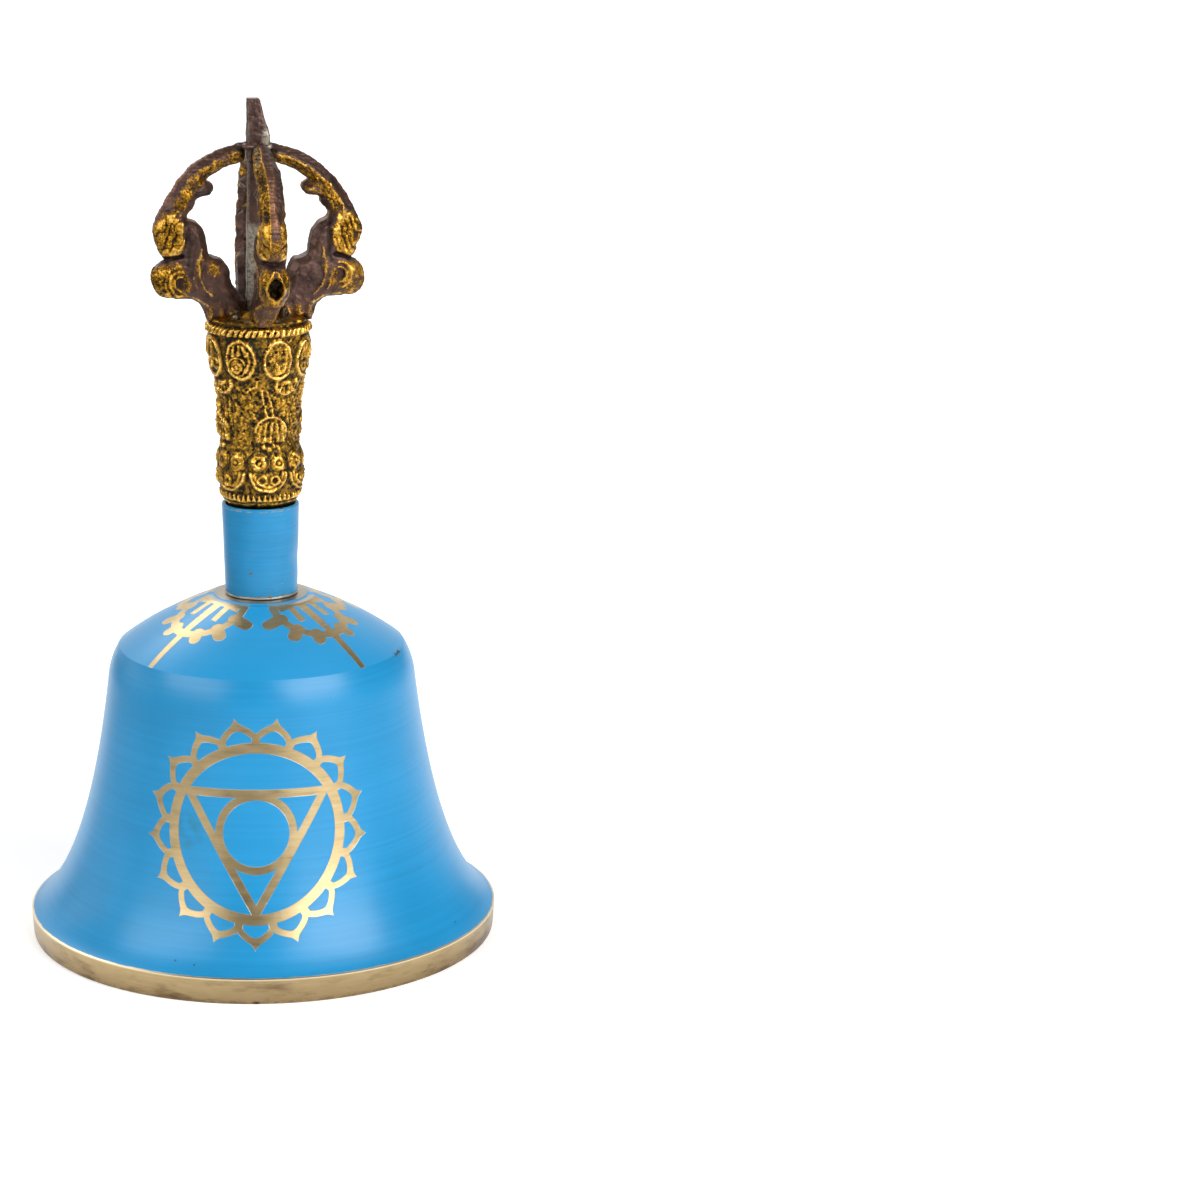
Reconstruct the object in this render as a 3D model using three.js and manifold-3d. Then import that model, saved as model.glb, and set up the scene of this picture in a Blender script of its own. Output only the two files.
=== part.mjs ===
// A painted brass hand bell with a ringed half-vajra handle, standing on its lip.
// Millimetres, +Z up. The origin is on the bell's axis, in the plane of the lip.
import * as THREE from "three";
import { mergeVertices } from "three/addons/utils/BufferGeometryUtils.js";
import Module from "manifold-3d";

const wasm = await Module();
wasm.setup();

// Bell cup: radii and heights of its outside, and its walls
const lipRadius = 49.0;
const lipFootInset = 0.33;
const lipEdge = 0.5;
const bandHeight = 5.4;
const waistTopRadius = 31.8;
const waistTopHeight = 56.4;
const flareStart = { x: 46.49, z: 6.4 };
const flareEnd = { x: 36.75, z: 13.53 };
const shoulderRadius = 29.64;
const shoulderHeight = 62.02;
const shoulderRound = { x: 31.25, z: 60.3 };
const crownBend = { x: 22.34, z: 67.62 };
const bossRadius = 9.5;
const bossFootRadius = 11.5;
const bossStep = 0.6;
const crownHeight = 72.71;
const wall = 2.8;
const lipWall = 3.6;
const lipWallHeight = 30;

// Neck sleeve: a thin tube that stands on the crown
const sleeveFootRadius = 7.45;
const sleeveRimRadius = 7.95;
const sleeveHeight = 19.0;
const sleeveWall = 0.8;

// Tie rod through the crown, with its washer, nut and drilled lug
const rodRadius = 3.0;
const rodSocketDepth = 9;
const threadTail = 1.6;
const washerRadius = 6.2;
const washerThickness = 1.2;
const nutAcrossFlats = 10;
const nutHeight = 5;
const nutChamfer = 0.9;
const lugThickness = 2.4;
const lugHoleRadius = 1.4;
const lugHoleDrop = 2.4;
const lugEnd = 2.9;

// Clapper and the wire ring that it hangs on. The bob's silhouette is in shares of its height, with the radius there.
const ringRadius = 5.0;
const ringWire = 0.8;
const eyeRadius = 2.6;
const shankRadius = 1.3;
const bobHeight = 14.5;
const bobSilhouette = [
  [0, 3.2],
  [0.16, 6.5],
  [0.42, 7.5],
  [0.76, 5.3],
  [1, 2.7],
];
const bobFootHeight = 4.4;
const peenRadius = 2.4;
const peenFootRadius = 1.7;
const peenHeight = 1.1;
const collarRadius = 1.9;
const collarHeight = 1.1;
const collarTaper = 0.55;

// Grip: shares of its height with the radius there, then the carved bands round it
const gripHeight = 38.0;
const gripTopChamfer = 1.0;
const gripSilhouette = [
  [0.03, 8.0],
  [0.07, 8.45],
  [0.15, 8.75],
  [0.23, 8.75],
  [0.31, 8.5],
  [0.38, 8.15],
  [0.5, 8.6],
  [0.6, 8.8],
  [0.68, 9.4],
  [0.76, 10.0],
  [0.86, 10.4],
  [0.92, 10.5],
];
const gripTopRadius = 10.9;
const spigotDepth = 7;
const lotusBand = { count: 6, turn: 5.5, low: 3.3, high: 11.8, rise: 0.75 };
const medallionBand = { count: 8, turn: 16.5, low: 26.5, high: 35.6, rise: 0.7 };
const beadRingRise = 0.55;
const beadRingHeight = 2.6;

// Finial: four prongs that arch from the grip to the tip.
// Each turning point of a prong's outline has its reach from the axis and its height over the foot.
const archRadius = 20.7;
const archBand = 3.8;
const archCentre = 15.1;
const prongFootReach = 10.7;
const prongFootThickness = 8.0;
const prongBulbThickness = 7.6;
const prongTopThickness = 5.2;
const prongBevel = 0.9;
const archFootAngle = 28.6;
const chin = { reach: 11.9, height: 3.3 };
const jaw = { reach: 15.0, height: 4.9 };
const lip = { reach: 19.8, height: 5.2 };
const snout = { reach: 21.7, height: 7.8 };
const notch = { reach: 19.2, height: 12.8 };
const bulbFoot = { reach: 20.7, height: 15.6 };
const bulb = { reach: 21.2, height: 17.8 };
const bulbTop = { reach: 19.8, height: 22.0 };
const fangRootAngle = 54.4;
const fangNeck = { reach: 9.5, height: 27.5 };
const fang = { reach: 9.2, height: 26.7 };
const fangBack = { reach: 11.6, height: 25.1 };
const palmTop = { reach: 14.4, height: 22.4 };
const palm = { reach: 13.8, height: 20.4 };
const palmFoot = { reach: 11.0, height: 17.6 };
const nape = { reach: 10.4, height: 14.2 };
const napeFoot = { reach: 7.6, height: 12.2 };
const throat = { reach: 6.0, height: 9.8 };
const throatFoot = { reach: 5.2, height: 6.2 };
const heelHeight = 3.9;
const mitreGap = 0.3;

// Centre bar and tip
const barFootWidth = 5.4;
const barTopWidth = 3.6;
const barFootThickness = 3.0;
const barTopThickness = 2.4;
const tipWidth = 4.6;
const tipTopWidth = 2.6;
const tipHeight = 12.1;
const tipShank = 5.2;
const tipLean = 0.9;

// Solder at the tip and in the corners between the prongs' feet
const tipSolderWidth = 1.85;
const tipSolderHeight = 1.3;
const footSolder = { width: 2.9, bulge: 2.0 };
const footSolderTop = { width: 0.9, bulge: 0.6 };
const footSolderHeight = 4.2;

// Clearances
const seatGap = 0.3;
const restGap = 0.3;
const threadGap = 0.2;
const boreGap = 0.4;

// Facets, and the reach within which two outline points are one
const bellFacets = 60;
const gripFacets = 72;
const tubeFacets = 36;
const smallFacets = 24;
const wireFacets = 8;
const flareSteps = 12;
const shoulderSteps = 3;
const crownSteps = 4;
const bobSteps = 10;
const gripRings = 28;
const outlineSteps = 2;
const mergeReach = 0.05;

// Heights that follow from the stack
const crownUnderside = crownHeight - wall;
const washerTop = crownUnderside - seatGap;
const nutTop = washerTop - washerThickness - seatGap;
const lugTop = nutTop - nutHeight - threadTail;
const lugHoleHeight = lugTop - lugHoleDrop;
const ringSag = lugHoleRadius - ringWire - restGap;
const ringCentre = lugHoleHeight - ringSag - ringRadius;
const eyeCentre = ringCentre - ringRadius + ringWire + restGap - (eyeRadius - shankRadius);
const sleeveFoot = crownHeight + seatGap;
const sleeveRim = sleeveFoot + sleeveHeight;
const gripFoot = sleeveRim + seatGap;
const gripTop = gripFoot + gripHeight;
const prongFoot = gripTop + seatGap;
const tipFoot = prongFoot + archCentre + archRadius - archBand;
const spigotRadius = sleeveRimRadius - sleeveWall - boreGap;
const lipFootRadius = lipRadius - lipFootInset;
const lipInnerRadius = lipFootRadius - lipWall;

const materials = {
  paint: new THREE.MeshStandardMaterial({ color: 0x2f9bdc, roughness: 0.42, metalness: 0 }),
  bronze: new THREE.MeshStandardMaterial({ color: 0xa8781f, roughness: 0.45, metalness: 1 }),
  patina: new THREE.MeshStandardMaterial({ color: 0x6b4a33, roughness: 0.5, metalness: 1 }),
  steel: new THREE.MeshStandardMaterial({ color: 0x8c8a86, roughness: 0.4, metalness: 1 }),
  solder: new THREE.MeshStandardMaterial({ color: 0xb4b6b4, roughness: 0.35, metalness: 1 }),
  brass: new THREE.MeshStandardMaterial({ color: 0xc9a25a, roughness: 0.35, metalness: 1 }),
};

// Solids

function solidOf(geometry) {
  const bare = geometry.clone();
  bare.deleteAttribute("normal");
  bare.deleteAttribute("uv");
  const merged = mergeVertices(bare, 1e-4);
  return new wasm.Manifold(
    new wasm.Mesh({
      numProp: 3,
      vertProperties: merged.attributes.position.array,
      triVerts: new Uint32Array(merged.index.array),
    }),
  );
}

function geometryOf(solid) {
  const mesh = solid.getMesh();
  const geometry = new THREE.BufferGeometry();
  geometry.setAttribute("position", new THREE.BufferAttribute(mesh.vertProperties, 3));
  geometry.setIndex(new THREE.BufferAttribute(mesh.triVerts, 1));
  geometry.computeVertexNormals();
  return geometry;
}

// A closed skin over rings of points, from a start point to an end point on the rings' axis.
function skin(start, rings, end) {
  const points = [start, ...rings.flat(), end];
  const faces = [];
  const count = rings[0].length;
  const at = (ring, column) => 1 + ring * count + (column % count);
  for (let column = 0; column < count; column++) {
    faces.push(0, at(0, column + 1), at(0, column));
    for (let ring = 0; ring + 1 < rings.length; ring++) {
      faces.push(at(ring, column), at(ring, column + 1), at(ring + 1, column + 1));
      faces.push(at(ring, column), at(ring + 1, column + 1), at(ring + 1, column));
    }
    const last = rings.length - 1;
    faces.push(points.length - 1, at(last, column), at(last, column + 1));
  }
  const geometry = new THREE.BufferGeometry().setFromPoints(points);
  geometry.setIndex(faces);
  geometry.computeVertexNormals();
  return geometry;
}

// Turns a profile of [radius, height] points round the Z axis.
function revolve(profile, facets) {
  const points = profile.map(([radius, height]) => new THREE.Vector2(radius, height));
  return new THREE.LatheGeometry(points, facets).rotateX(Math.PI / 2);
}

function closed(profile) {
  return [...profile, profile[0]];
}

function rod(radius, low, high, facets) {
  return revolve([[0, low], [radius, low], [radius, high], [0, high]], facets);
}

function samples(curve, steps) {
  return curve.getPoints(steps).map((point) => [point.x, point.y]);
}

function vector(x, z) {
  return new THREE.Vector2(x, z);
}

// Bell cup

function bellOutside() {
  const flare = new THREE.CubicBezierCurve(
    vector(lipRadius, bandHeight),
    vector(flareStart.x, flareStart.z),
    vector(flareEnd.x, flareEnd.z),
    vector(waistTopRadius, waistTopHeight),
  );
  const shoulder = new THREE.QuadraticBezierCurve(
    vector(waistTopRadius, waistTopHeight),
    vector(shoulderRound.x, shoulderRound.z),
    vector(shoulderRadius, shoulderHeight),
  );
  const crown = new THREE.QuadraticBezierCurve(
    vector(shoulderRadius, shoulderHeight),
    vector(crownBend.x, crownBend.z),
    vector(bossFootRadius, crownHeight - bossStep),
  );
  return [
    ...samples(flare, flareSteps),
    ...samples(shoulder, shoulderSteps).slice(1),
    ...samples(crown, crownSteps).slice(1),
    [bossRadius, crownHeight],
  ];
}

// The wall grows towards the lip, where the clapper strikes.
function wallAt(height) {
  const share = Math.max(0, 1 - height / lipWallHeight);
  return wall + (lipWall - wall) * share * share;
}

function bellInside(outside) {
  const inside = outside.map(([x, z], i) => {
    const before = outside[Math.max(i - 1, 0)];
    const after = outside[Math.min(i + 1, outside.length - 1)];
    const slope = vector(after[0] - before[0], after[1] - before[1]).normalize();
    return [x - slope.y * wallAt(z), z + slope.x * wallAt(z)];
  });
  return inside.filter(([x, z]) => x < lipInnerRadius && x > rodRadius && z < crownUnderside);
}

function bellBody() {
  const outside = bellOutside();
  const boreRadius = rodRadius + boreGap;
  const profile = [
    [lipInnerRadius, 0],
    [lipFootRadius - lipEdge, 0],
    [lipFootRadius, lipEdge],
    ...outside,
    [boreRadius, crownHeight],
    [boreRadius, crownUnderside],
    [bossRadius, crownUnderside],
    ...bellInside(outside).reverse(),
  ];
  return revolve(closed(profile), bellFacets);
}

// Neck sleeve

function neckSleeve() {
  const profile = [
    [sleeveFootRadius - sleeveWall, sleeveFoot],
    [sleeveFootRadius, sleeveFoot],
    [sleeveRimRadius, sleeveRim],
    [sleeveRimRadius - sleeveWall, sleeveRim],
  ];
  return revolve(closed(profile), tubeFacets);
}

// Tie rod, washer and nut

function tieRod() {
  const lugBottom = lugHoleHeight - lugEnd;
  const bar = solidOf(rod(rodRadius, lugBottom, gripFoot + rodSocketDepth, smallFacets));
  const side = new THREE.BoxGeometry(rodRadius * 2, rodRadius * 2, lugTop - lugBottom + seatGap);
  const sideHeight = (lugTop + lugBottom - seatGap) / 2;
  const offset = rodRadius + lugThickness / 2;
  const left = solidOf(side.clone().translate(-offset, 0, sideHeight));
  const right = solidOf(side.clone().translate(offset, 0, sideHeight));
  const hole = new THREE.CylinderGeometry(lugHoleRadius, lugHoleRadius, lugThickness * 2, smallFacets);
  hole.rotateZ(Math.PI / 2).translate(0, 0, lugHoleHeight);
  return geometryOf(bar.subtract(left).subtract(right).subtract(solidOf(hole)));
}

function crownWasher() {
  const bore = rodRadius + boreGap;
  const low = washerTop - washerThickness;
  const profile = [[bore, low], [washerRadius, low], [washerRadius, washerTop], [bore, washerTop]];
  return revolve(closed(profile), smallFacets);
}

function crownNut() {
  const cornerRadius = nutAcrossFlats / Math.sqrt(3);
  const low = nutTop - nutHeight;
  const hexagon = solidOf(rod(cornerRadius, low, nutTop, 6));
  const flatRadius = nutAcrossFlats / 2;
  const turned = [
    [0, low],
    [flatRadius, low],
    [cornerRadius, low + nutChamfer],
    [cornerRadius, nutTop - nutChamfer],
    [flatRadius, nutTop],
    [0, nutTop],
  ];
  const bore = solidOf(rod(rodRadius + threadGap, low - seatGap, nutTop + seatGap, smallFacets));
  return geometryOf(hexagon.intersect(solidOf(revolve(turned, smallFacets))).subtract(bore));
}

// Hanger ring, clapper shank and bob

function hangerRing() {
  const ring = new THREE.TorusGeometry(ringRadius, ringWire, wireFacets, smallFacets);
  return ring.rotateX(Math.PI / 2).translate(0, 0, ringCentre);
}

function clapperRod() {
  const eye = new THREE.TorusGeometry(eyeRadius, shankRadius, wireFacets, smallFacets);
  eye.rotateY(Math.PI / 2).translate(0, 0, eyeCentre);
  const collarFoot = bobFootHeight + bobHeight + restGap;
  const peenTop = bobFootHeight - restGap;
  const shank = revolve(
    [
      [0, peenTop - peenHeight],
      [peenFootRadius, peenTop - peenHeight],
      [peenRadius, peenTop],
      [shankRadius, peenTop],
      [shankRadius, collarFoot],
      [collarRadius, collarFoot],
      [collarRadius, collarFoot + collarHeight],
      [shankRadius, collarFoot + collarHeight + collarTaper],
      [shankRadius, eyeCentre - eyeRadius],
      [0, eyeCentre - eyeRadius],
    ],
    smallFacets,
  );
  return geometryOf(solidOf(eye).add(solidOf(shank)));
}

function clapperBob() {
  const bore = shankRadius + restGap;
  const top = bobFootHeight + bobHeight;
  const pear = new THREE.SplineCurve(
    bobSilhouette.map(([share, radius]) => vector(radius, bobFootHeight + bobHeight * share)),
  );
  const profile = [[bore, bobFootHeight], ...samples(pear, bobSteps), [bore, top]];
  return revolve(closed(profile), smallFacets);
}

// Grip

// How far an oval boss of a band stands up at an angle and height on the grip.
function bandRise(band, angle, height) {
  const middle = (band.low + band.high) / 2;
  const upward = (height - middle) / ((band.high - band.low) / 2);
  const pitch = (Math.PI * 2) / band.count;
  const turned = angle - THREE.MathUtils.degToRad(band.turn);
  const across = (turned - Math.round(turned / pitch) * pitch) / (pitch / 2);
  return band.rise * Math.sqrt(Math.max(0, 1 - across * across - upward * upward));
}

function beadRise(height) {
  const fromTop = (gripHeight - height) / beadRingHeight;
  return fromTop > 1 ? 0 : beadRingRise * Math.sin(Math.PI * fromTop);
}

function gripCasting() {
  const silhouette = new THREE.SplineCurve([
    vector(sleeveRimRadius - sleeveWall, 0),
    ...gripSilhouette.map(([share, radius]) => vector(radius, share * gripHeight)),
    vector(gripTopRadius - gripTopChamfer, gripHeight),
  ]);
  const ring = (radiusAt, height) =>
    Array.from({ length: gripFacets }, (_, i) => {
      const angle = (i / gripFacets) * Math.PI * 2;
      const radius = radiusAt(angle);
      return new THREE.Vector3(radius * Math.sin(angle), -radius * Math.cos(angle), height);
    });
  const socketRadius = rodRadius + boreGap;
  const socketTop = gripFoot + rodSocketDepth + boreGap;
  const rings = [
    ring(() => socketRadius, socketTop),
    ring(() => socketRadius, gripFoot - spigotDepth),
    ring(() => spigotRadius, gripFoot - spigotDepth),
    ring(() => spigotRadius, gripFoot),
  ];
  for (let i = 0; i <= gripRings; i++) {
    const { x: radius, y: height } = silhouette.getPoint(i / gripRings);
    const turned = radius + beadRise(height);
    const carved = (angle) =>
      turned + bandRise(lotusBand, angle, height) + bandRise(medallionBand, angle, height);
    rings.push(ring(carved, gripFoot + height));
  }
  return skin(new THREE.Vector3(0, 0, socketTop), rings, new THREE.Vector3(0, 0, gripTop));
}

// Prongs

function along(...turns) {
  return turns.map(({ reach, height }) => vector(reach, height));
}

// The outline of a prong in its own plane: reach from the axis against height over its foot.
function prongOutline() {
  const tipFace = tipWidth / 2 + seatGap;
  const barFace = barFootWidth / 2 + seatGap;
  const innerRadius = archRadius - archBand;
  const archFoot = THREE.MathUtils.degToRad(archFootAngle);
  const fangRoot = THREE.MathUtils.degToRad(fangRootAngle);
  const outerEnd = Math.acos(tipFace / archRadius);
  const innerEnd = Math.acos(tipFace / innerRadius);
  const shape = new THREE.Shape();
  shape.moveTo(barFace, 0);
  shape.lineTo(prongFootReach, 0);
  shape.splineThru(along(chin, jaw, lip, snout, notch));
  const archStart = vector(Math.cos(archFoot), Math.sin(archFoot)).multiplyScalar(archRadius);
  shape.splineThru([...along(bulbFoot, bulb, bulbTop), archStart.add(vector(0, archCentre))]);
  shape.absarc(0, archCentre, archRadius, archFoot, outerEnd, false);
  shape.lineTo(tipFace, archCentre + innerRadius * Math.sin(innerEnd));
  shape.absarc(0, archCentre, innerRadius, innerEnd, fangRoot, true);
  const hook = along(fangNeck, fang, fangBack, palmTop, palm, palmFoot);
  const neck = along(nape, napeFoot, throat, throatFoot);
  shape.splineThru([...hook, ...neck, vector(barFace, heelHeight)]);
  const points = shape.getPoints(outlineSteps);
  return points.filter((point, i) => i === 0 || point.distanceTo(points[i - 1]) > mergeReach);
}

// Half the thickness of a prong at a height over its foot.
function prongHalfThickness(height) {
  const top = archCentre + archRadius;
  const upper = THREE.MathUtils.smoothstep(height, bulb.height, top);
  const lower = THREE.MathUtils.smoothstep(height, snout.height, bulb.height);
  const middle = THREE.MathUtils.lerp(prongFootThickness, prongBulbThickness, lower);
  return THREE.MathUtils.lerp(middle, prongTopThickness, upper) / 2;
}

// A plate with an outline, bevelled round both faces, half as thick as halfAt says at each height.
function castPlate(outline, bevel, halfAt) {
  const count = outline.length;
  const inset = outline.map((point, i) => {
    const edge = outline[(i + 1) % count].clone().sub(outline[(i + count - 1) % count]);
    return vector(-edge.y, edge.x).setLength(bevel).add(point);
  });
  const layer = (points, side, cut) =>
    points.map((point) => new THREE.Vector3(point.x, side * (halfAt(point.y) - cut), point.y));
  const layers = [
    layer(inset, 1, 0),
    layer(outline, 1, bevel),
    layer(outline, -1, bevel),
    layer(inset, -1, 0),
  ];
  const faces = [];
  for (let ring = 0; ring + 1 < layers.length; ring++)
    for (let i = 0; i < count; i++) {
      const next = (i + 1) % count;
      const low = ring * count;
      const high = low + count;
      faces.push(low + i, high + next, high + i, low + i, low + next, high + next);
    }
  const last = (layers.length - 1) * count;
  for (const [a, b, c] of THREE.ShapeUtils.triangulateShape(outline, []))
    faces.push(a, c, b, last + a, last + b, last + c);
  const geometry = new THREE.BufferGeometry().setFromPoints(layers.flat());
  geometry.setIndex(faces);
  return geometry;
}

function prong(turn) {
  const geometry = castPlate(prongOutline(), prongBevel, prongHalfThickness).translate(0, 0, prongFoot);
  const reach = snout.reach * 2;
  const quarter = new THREE.Shape([
    vector(mitreGap, 0),
    vector(reach, reach - mitreGap),
    vector(reach, mitreGap - reach),
  ]);
  const sector = new THREE.ExtrudeGeometry(quarter, { depth: gripTop, bevelEnabled: false });
  sector.translate(0, 0, prongFoot - seatGap);
  return geometryOf(solidOf(geometry).intersect(solidOf(sector))).rotateZ(turn);
}

// Centre bar and tip

function rectangle(width, depth, height, shift) {
  return [
    new THREE.Vector3(shift - width / 2, -depth / 2, height),
    new THREE.Vector3(shift + width / 2, -depth / 2, height),
    new THREE.Vector3(shift + width / 2, depth / 2, height),
    new THREE.Vector3(shift - width / 2, depth / 2, height),
  ];
}

function centreBar() {
  const top = tipFoot - seatGap;
  return skin(
    new THREE.Vector3(0, 0, prongFoot),
    [
      rectangle(barFootWidth, barFootThickness, prongFoot, 0),
      rectangle(barTopWidth, barTopThickness, top, 0),
    ],
    new THREE.Vector3(0, 0, top),
  );
}

function finialTip() {
  const top = tipFoot + tipHeight;
  const shift = -tipLean;
  return skin(
    new THREE.Vector3(0, 0, tipFoot),
    [
      rectangle(tipWidth, tipWidth, tipFoot, 0),
      rectangle(tipWidth, tipWidth, tipFoot + tipShank, 0),
      rectangle(tipTopWidth, tipTopWidth, top, shift),
    ],
    new THREE.Vector3(shift, 0, top),
  );
}

// Solder

function tipSolder() {
  const low = prongFoot + archCentre + archRadius + seatGap;
  const hole = tipWidth / 2 + mitreGap / 2;
  const profile = [
    [hole * Math.SQRT2, low],
    [(hole + tipSolderWidth) * Math.SQRT2, low],
    [hole * Math.SQRT2, low + tipSolderHeight],
  ];
  return revolve(closed(profile), 4).rotateZ(Math.PI / 4);
}

function cornerSolder(turn) {
  const inner = prongFootThickness / 2 + mitreGap;
  const corner = ({ width, bulge }, height) => [
    new THREE.Vector3(inner, inner, height),
    new THREE.Vector3(inner + width, inner, height),
    new THREE.Vector3(inner + bulge, inner + bulge, height),
    new THREE.Vector3(inner, inner + width, height),
  ];
  const middle = ({ bulge }, height) => new THREE.Vector3(inner + bulge / 2, inner + bulge / 2, height);
  const top = prongFoot + footSolderHeight;
  return skin(
    middle(footSolder, prongFoot),
    [corner(footSolder, prongFoot), corner(footSolderTop, top)],
    middle(footSolderTop, top),
  ).rotateZ(turn);
}

// Assembly

function piece(name, geometry, material) {
  const mesh = new THREE.Mesh(geometry, material.clone());
  mesh.name = name;
  return mesh;
}

const quarterTurn = Math.PI / 2;
const handle = new THREE.Group();
handle.add(
  piece("grip_casting", gripCasting(), materials.bronze),
  piece("prong_right", prong(0), materials.patina),
  piece("prong_back", prong(quarterTurn), materials.patina),
  piece("prong_left", prong(quarterTurn * 2), materials.patina),
  piece("prong_front", prong(quarterTurn * 3), materials.patina),
  piece("centre_bar", centreBar(), materials.steel),
  piece("finial_tip", finialTip(), materials.patina),
  piece("tip_solder", tipSolder(), materials.solder),
  piece("foot_solder_back_right", cornerSolder(0), materials.solder),
  piece("foot_solder_back_left", cornerSolder(quarterTurn), materials.solder),
  piece("foot_solder_front_left", cornerSolder(quarterTurn * 2), materials.solder),
  piece("foot_solder_front_right", cornerSolder(quarterTurn * 3), materials.solder),
);

const clapper = new THREE.Group();
clapper.add(
  piece("hanger_ring", hangerRing(), materials.steel),
  piece("clapper_rod", clapperRod(), materials.steel),
  piece("clapper_bob", clapperBob(), materials.brass),
);

const bell = new THREE.Group();
bell.add(
  piece("bell_body", bellBody(), materials.paint),
  piece("neck_sleeve", neckSleeve(), materials.paint),
  piece("tie_rod", tieRod(), materials.steel),
  piece("crown_washer", crownWasher(), materials.steel),
  piece("crown_nut", crownNut(), materials.steel),
  handle,
  clapper,
);

export default bell;
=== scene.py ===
"""Looks of a painted brass hand bell: a turned cup, a cast half-vajra handle and a hanging clapper."""

import itertools
import math

import bpy
import numpy as np
from bpy.props import FloatProperty, FloatVectorProperty, IntProperty, PointerProperty
from mathutils import Matrix, Vector


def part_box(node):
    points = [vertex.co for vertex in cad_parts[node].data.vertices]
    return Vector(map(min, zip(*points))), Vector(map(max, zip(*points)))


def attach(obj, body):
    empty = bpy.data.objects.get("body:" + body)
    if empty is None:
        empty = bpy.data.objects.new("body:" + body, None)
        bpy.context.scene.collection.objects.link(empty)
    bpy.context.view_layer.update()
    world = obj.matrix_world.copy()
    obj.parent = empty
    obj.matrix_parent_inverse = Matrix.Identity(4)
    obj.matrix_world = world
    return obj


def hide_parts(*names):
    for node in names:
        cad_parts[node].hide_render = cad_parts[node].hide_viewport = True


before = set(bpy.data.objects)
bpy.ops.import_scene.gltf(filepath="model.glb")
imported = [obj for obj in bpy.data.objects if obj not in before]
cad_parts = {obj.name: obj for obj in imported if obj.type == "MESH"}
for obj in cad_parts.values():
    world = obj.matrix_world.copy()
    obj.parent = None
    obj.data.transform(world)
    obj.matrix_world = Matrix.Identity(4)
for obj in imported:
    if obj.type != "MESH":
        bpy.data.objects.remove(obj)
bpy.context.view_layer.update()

bl_info = {
    "name": "Painted hand bell",
    "version": (1, 0, 0),
    "blender": (4, 5, 0),
    "location": "3D View > Sidebar > Bell",
    "description": "Turns, casts and paints a hand bell with a half-vajra handle over its packed frame",
    "category": "Add Mesh",
}

MM = 0.001
CUP_HIGH, SLEEVE_HIGH, TIP_HIGH, BOB_HIGH = (
    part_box(node)[1] for node in ("bell_body", "neck_sleeve", "finial_tip", "clapper_bob")
)


# Sizes and colours


def span(node):
    """The foot and the top of a node, in millimetres."""
    low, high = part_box(node)
    return low.z / MM, high.z / MM


def length(label, text, metres):
    return FloatProperty(
        name=label, description=text, default=metres, min=0, precision=5, unit="LENGTH", subtype="DISTANCE"
    )


def colour(label, text, value):
    return FloatVectorProperty(
        name=label, description=text, default=value, min=0, max=1, size=3, subtype="COLOR"
    )


def count(label, text, value):
    return IntProperty(name=label, description=text, default=value, min=3)


def turn(label, text, degrees):
    return FloatProperty(
        name=label, description=text, default=math.radians(degrees), unit="ROTATION", subtype="ANGLE"
    )


class CupSettings(bpy.types.PropertyGroup):
    lip: length("Lip radius", "Outside radius at the top of the bare band", CUP_HIGH.x)
    band: length("Band height", "Height of the bare brass band over the lip", 5.4 * MM)
    boss: length("Boss radius", "Radius of the bare turned boss under the sleeve", 9.55 * MM)
    wall: length("Wall", "Thickness of the cup at its waist", 2.8 * MM)
    facets: count("Facets", "Divisions round the cup", 256)
    emblem_turn: turn("Emblem turn", "Where the etched emblem faces, from the front prong", -8.65)
    crest_turn: turn("Crest turn", "Where the shoulder's pattern starts, from the front prong", -9.25)
    enamel: colour("Enamel", "Colour of the blue enamel", (0.015, 0.284, 0.585))
    etch: colour("Etched brass", "Colour of the bare brass in the etching", (0.57, 0.425, 0.215))


class SleeveSettings(bpy.types.PropertyGroup):
    dent: length("Dent", "Depth of the dent near the foot", 0.28 * MM)
    flare: length("Flare", "How far the beaten foot spreads", 0.15 * MM)
    facets: count("Facets", "Divisions round the sleeve", 160)


class GripSettings(bpy.types.PropertyGroup):
    relief: length("Relief", "How far the carving stands from the grip", 0.85 * MM)
    medallions: count("Medallions", "Oval medallions round the top of the grip", 8)
    petals: count("Petals", "Lotus petals round the foot of the grip", 6)
    rope: count("Rope turns", "Slanting turns of the rope round the top", 52)
    beads: count("Beads", "Pointed beads round the foot", 46)
    around: count("Divisions round", "Divisions round the grip", 384)
    gilt: colour("Gilt", "Colour of the rubbed gilding", (0.86, 0.45, 0.052))
    patina: colour("Patina", "Colour of the hollows", (0.020, 0.013, 0.006))


class FinialSettings(bpy.types.PropertyGroup):
    grain: length("Grain", "Distance between the points of a prong's surface", 0.19 * MM)
    chamfer: length("Chamfer", "Width of the chamfers along a prong's edges", 1.35 * MM)
    patina: colour("Patina", "Colour of the brown patina", (0.115, 0.063, 0.050))
    gilt: colour("Gilt", "Colour of the rubbed gilding", (0.70, 0.335, 0.022))
    copper: colour("Copper", "Colour where the patina is rubbed to the metal", (0.46, 0.21, 0.115))
    solder: colour("Solder", "Colour of the soft solder", (0.50, 0.44, 0.35))


class ClapperSettings(bpy.types.PropertyGroup):
    brass: colour("Bob brass", "Colour of the turned bob", (0.62, 0.43, 0.19))
    steel: colour("Steel", "Colour of the wire, the rod and the nut", (0.30, 0.29, 0.27))
    pitch: length("Thread pitch", "Distance between the turns of the rod's thread", 0.9 * MM)
    wire: length("Ring wire", "Radius of the hanger ring's wire", 0.8 * MM)
    facets: count("Facets", "Divisions round the turned pieces", 96)


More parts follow.
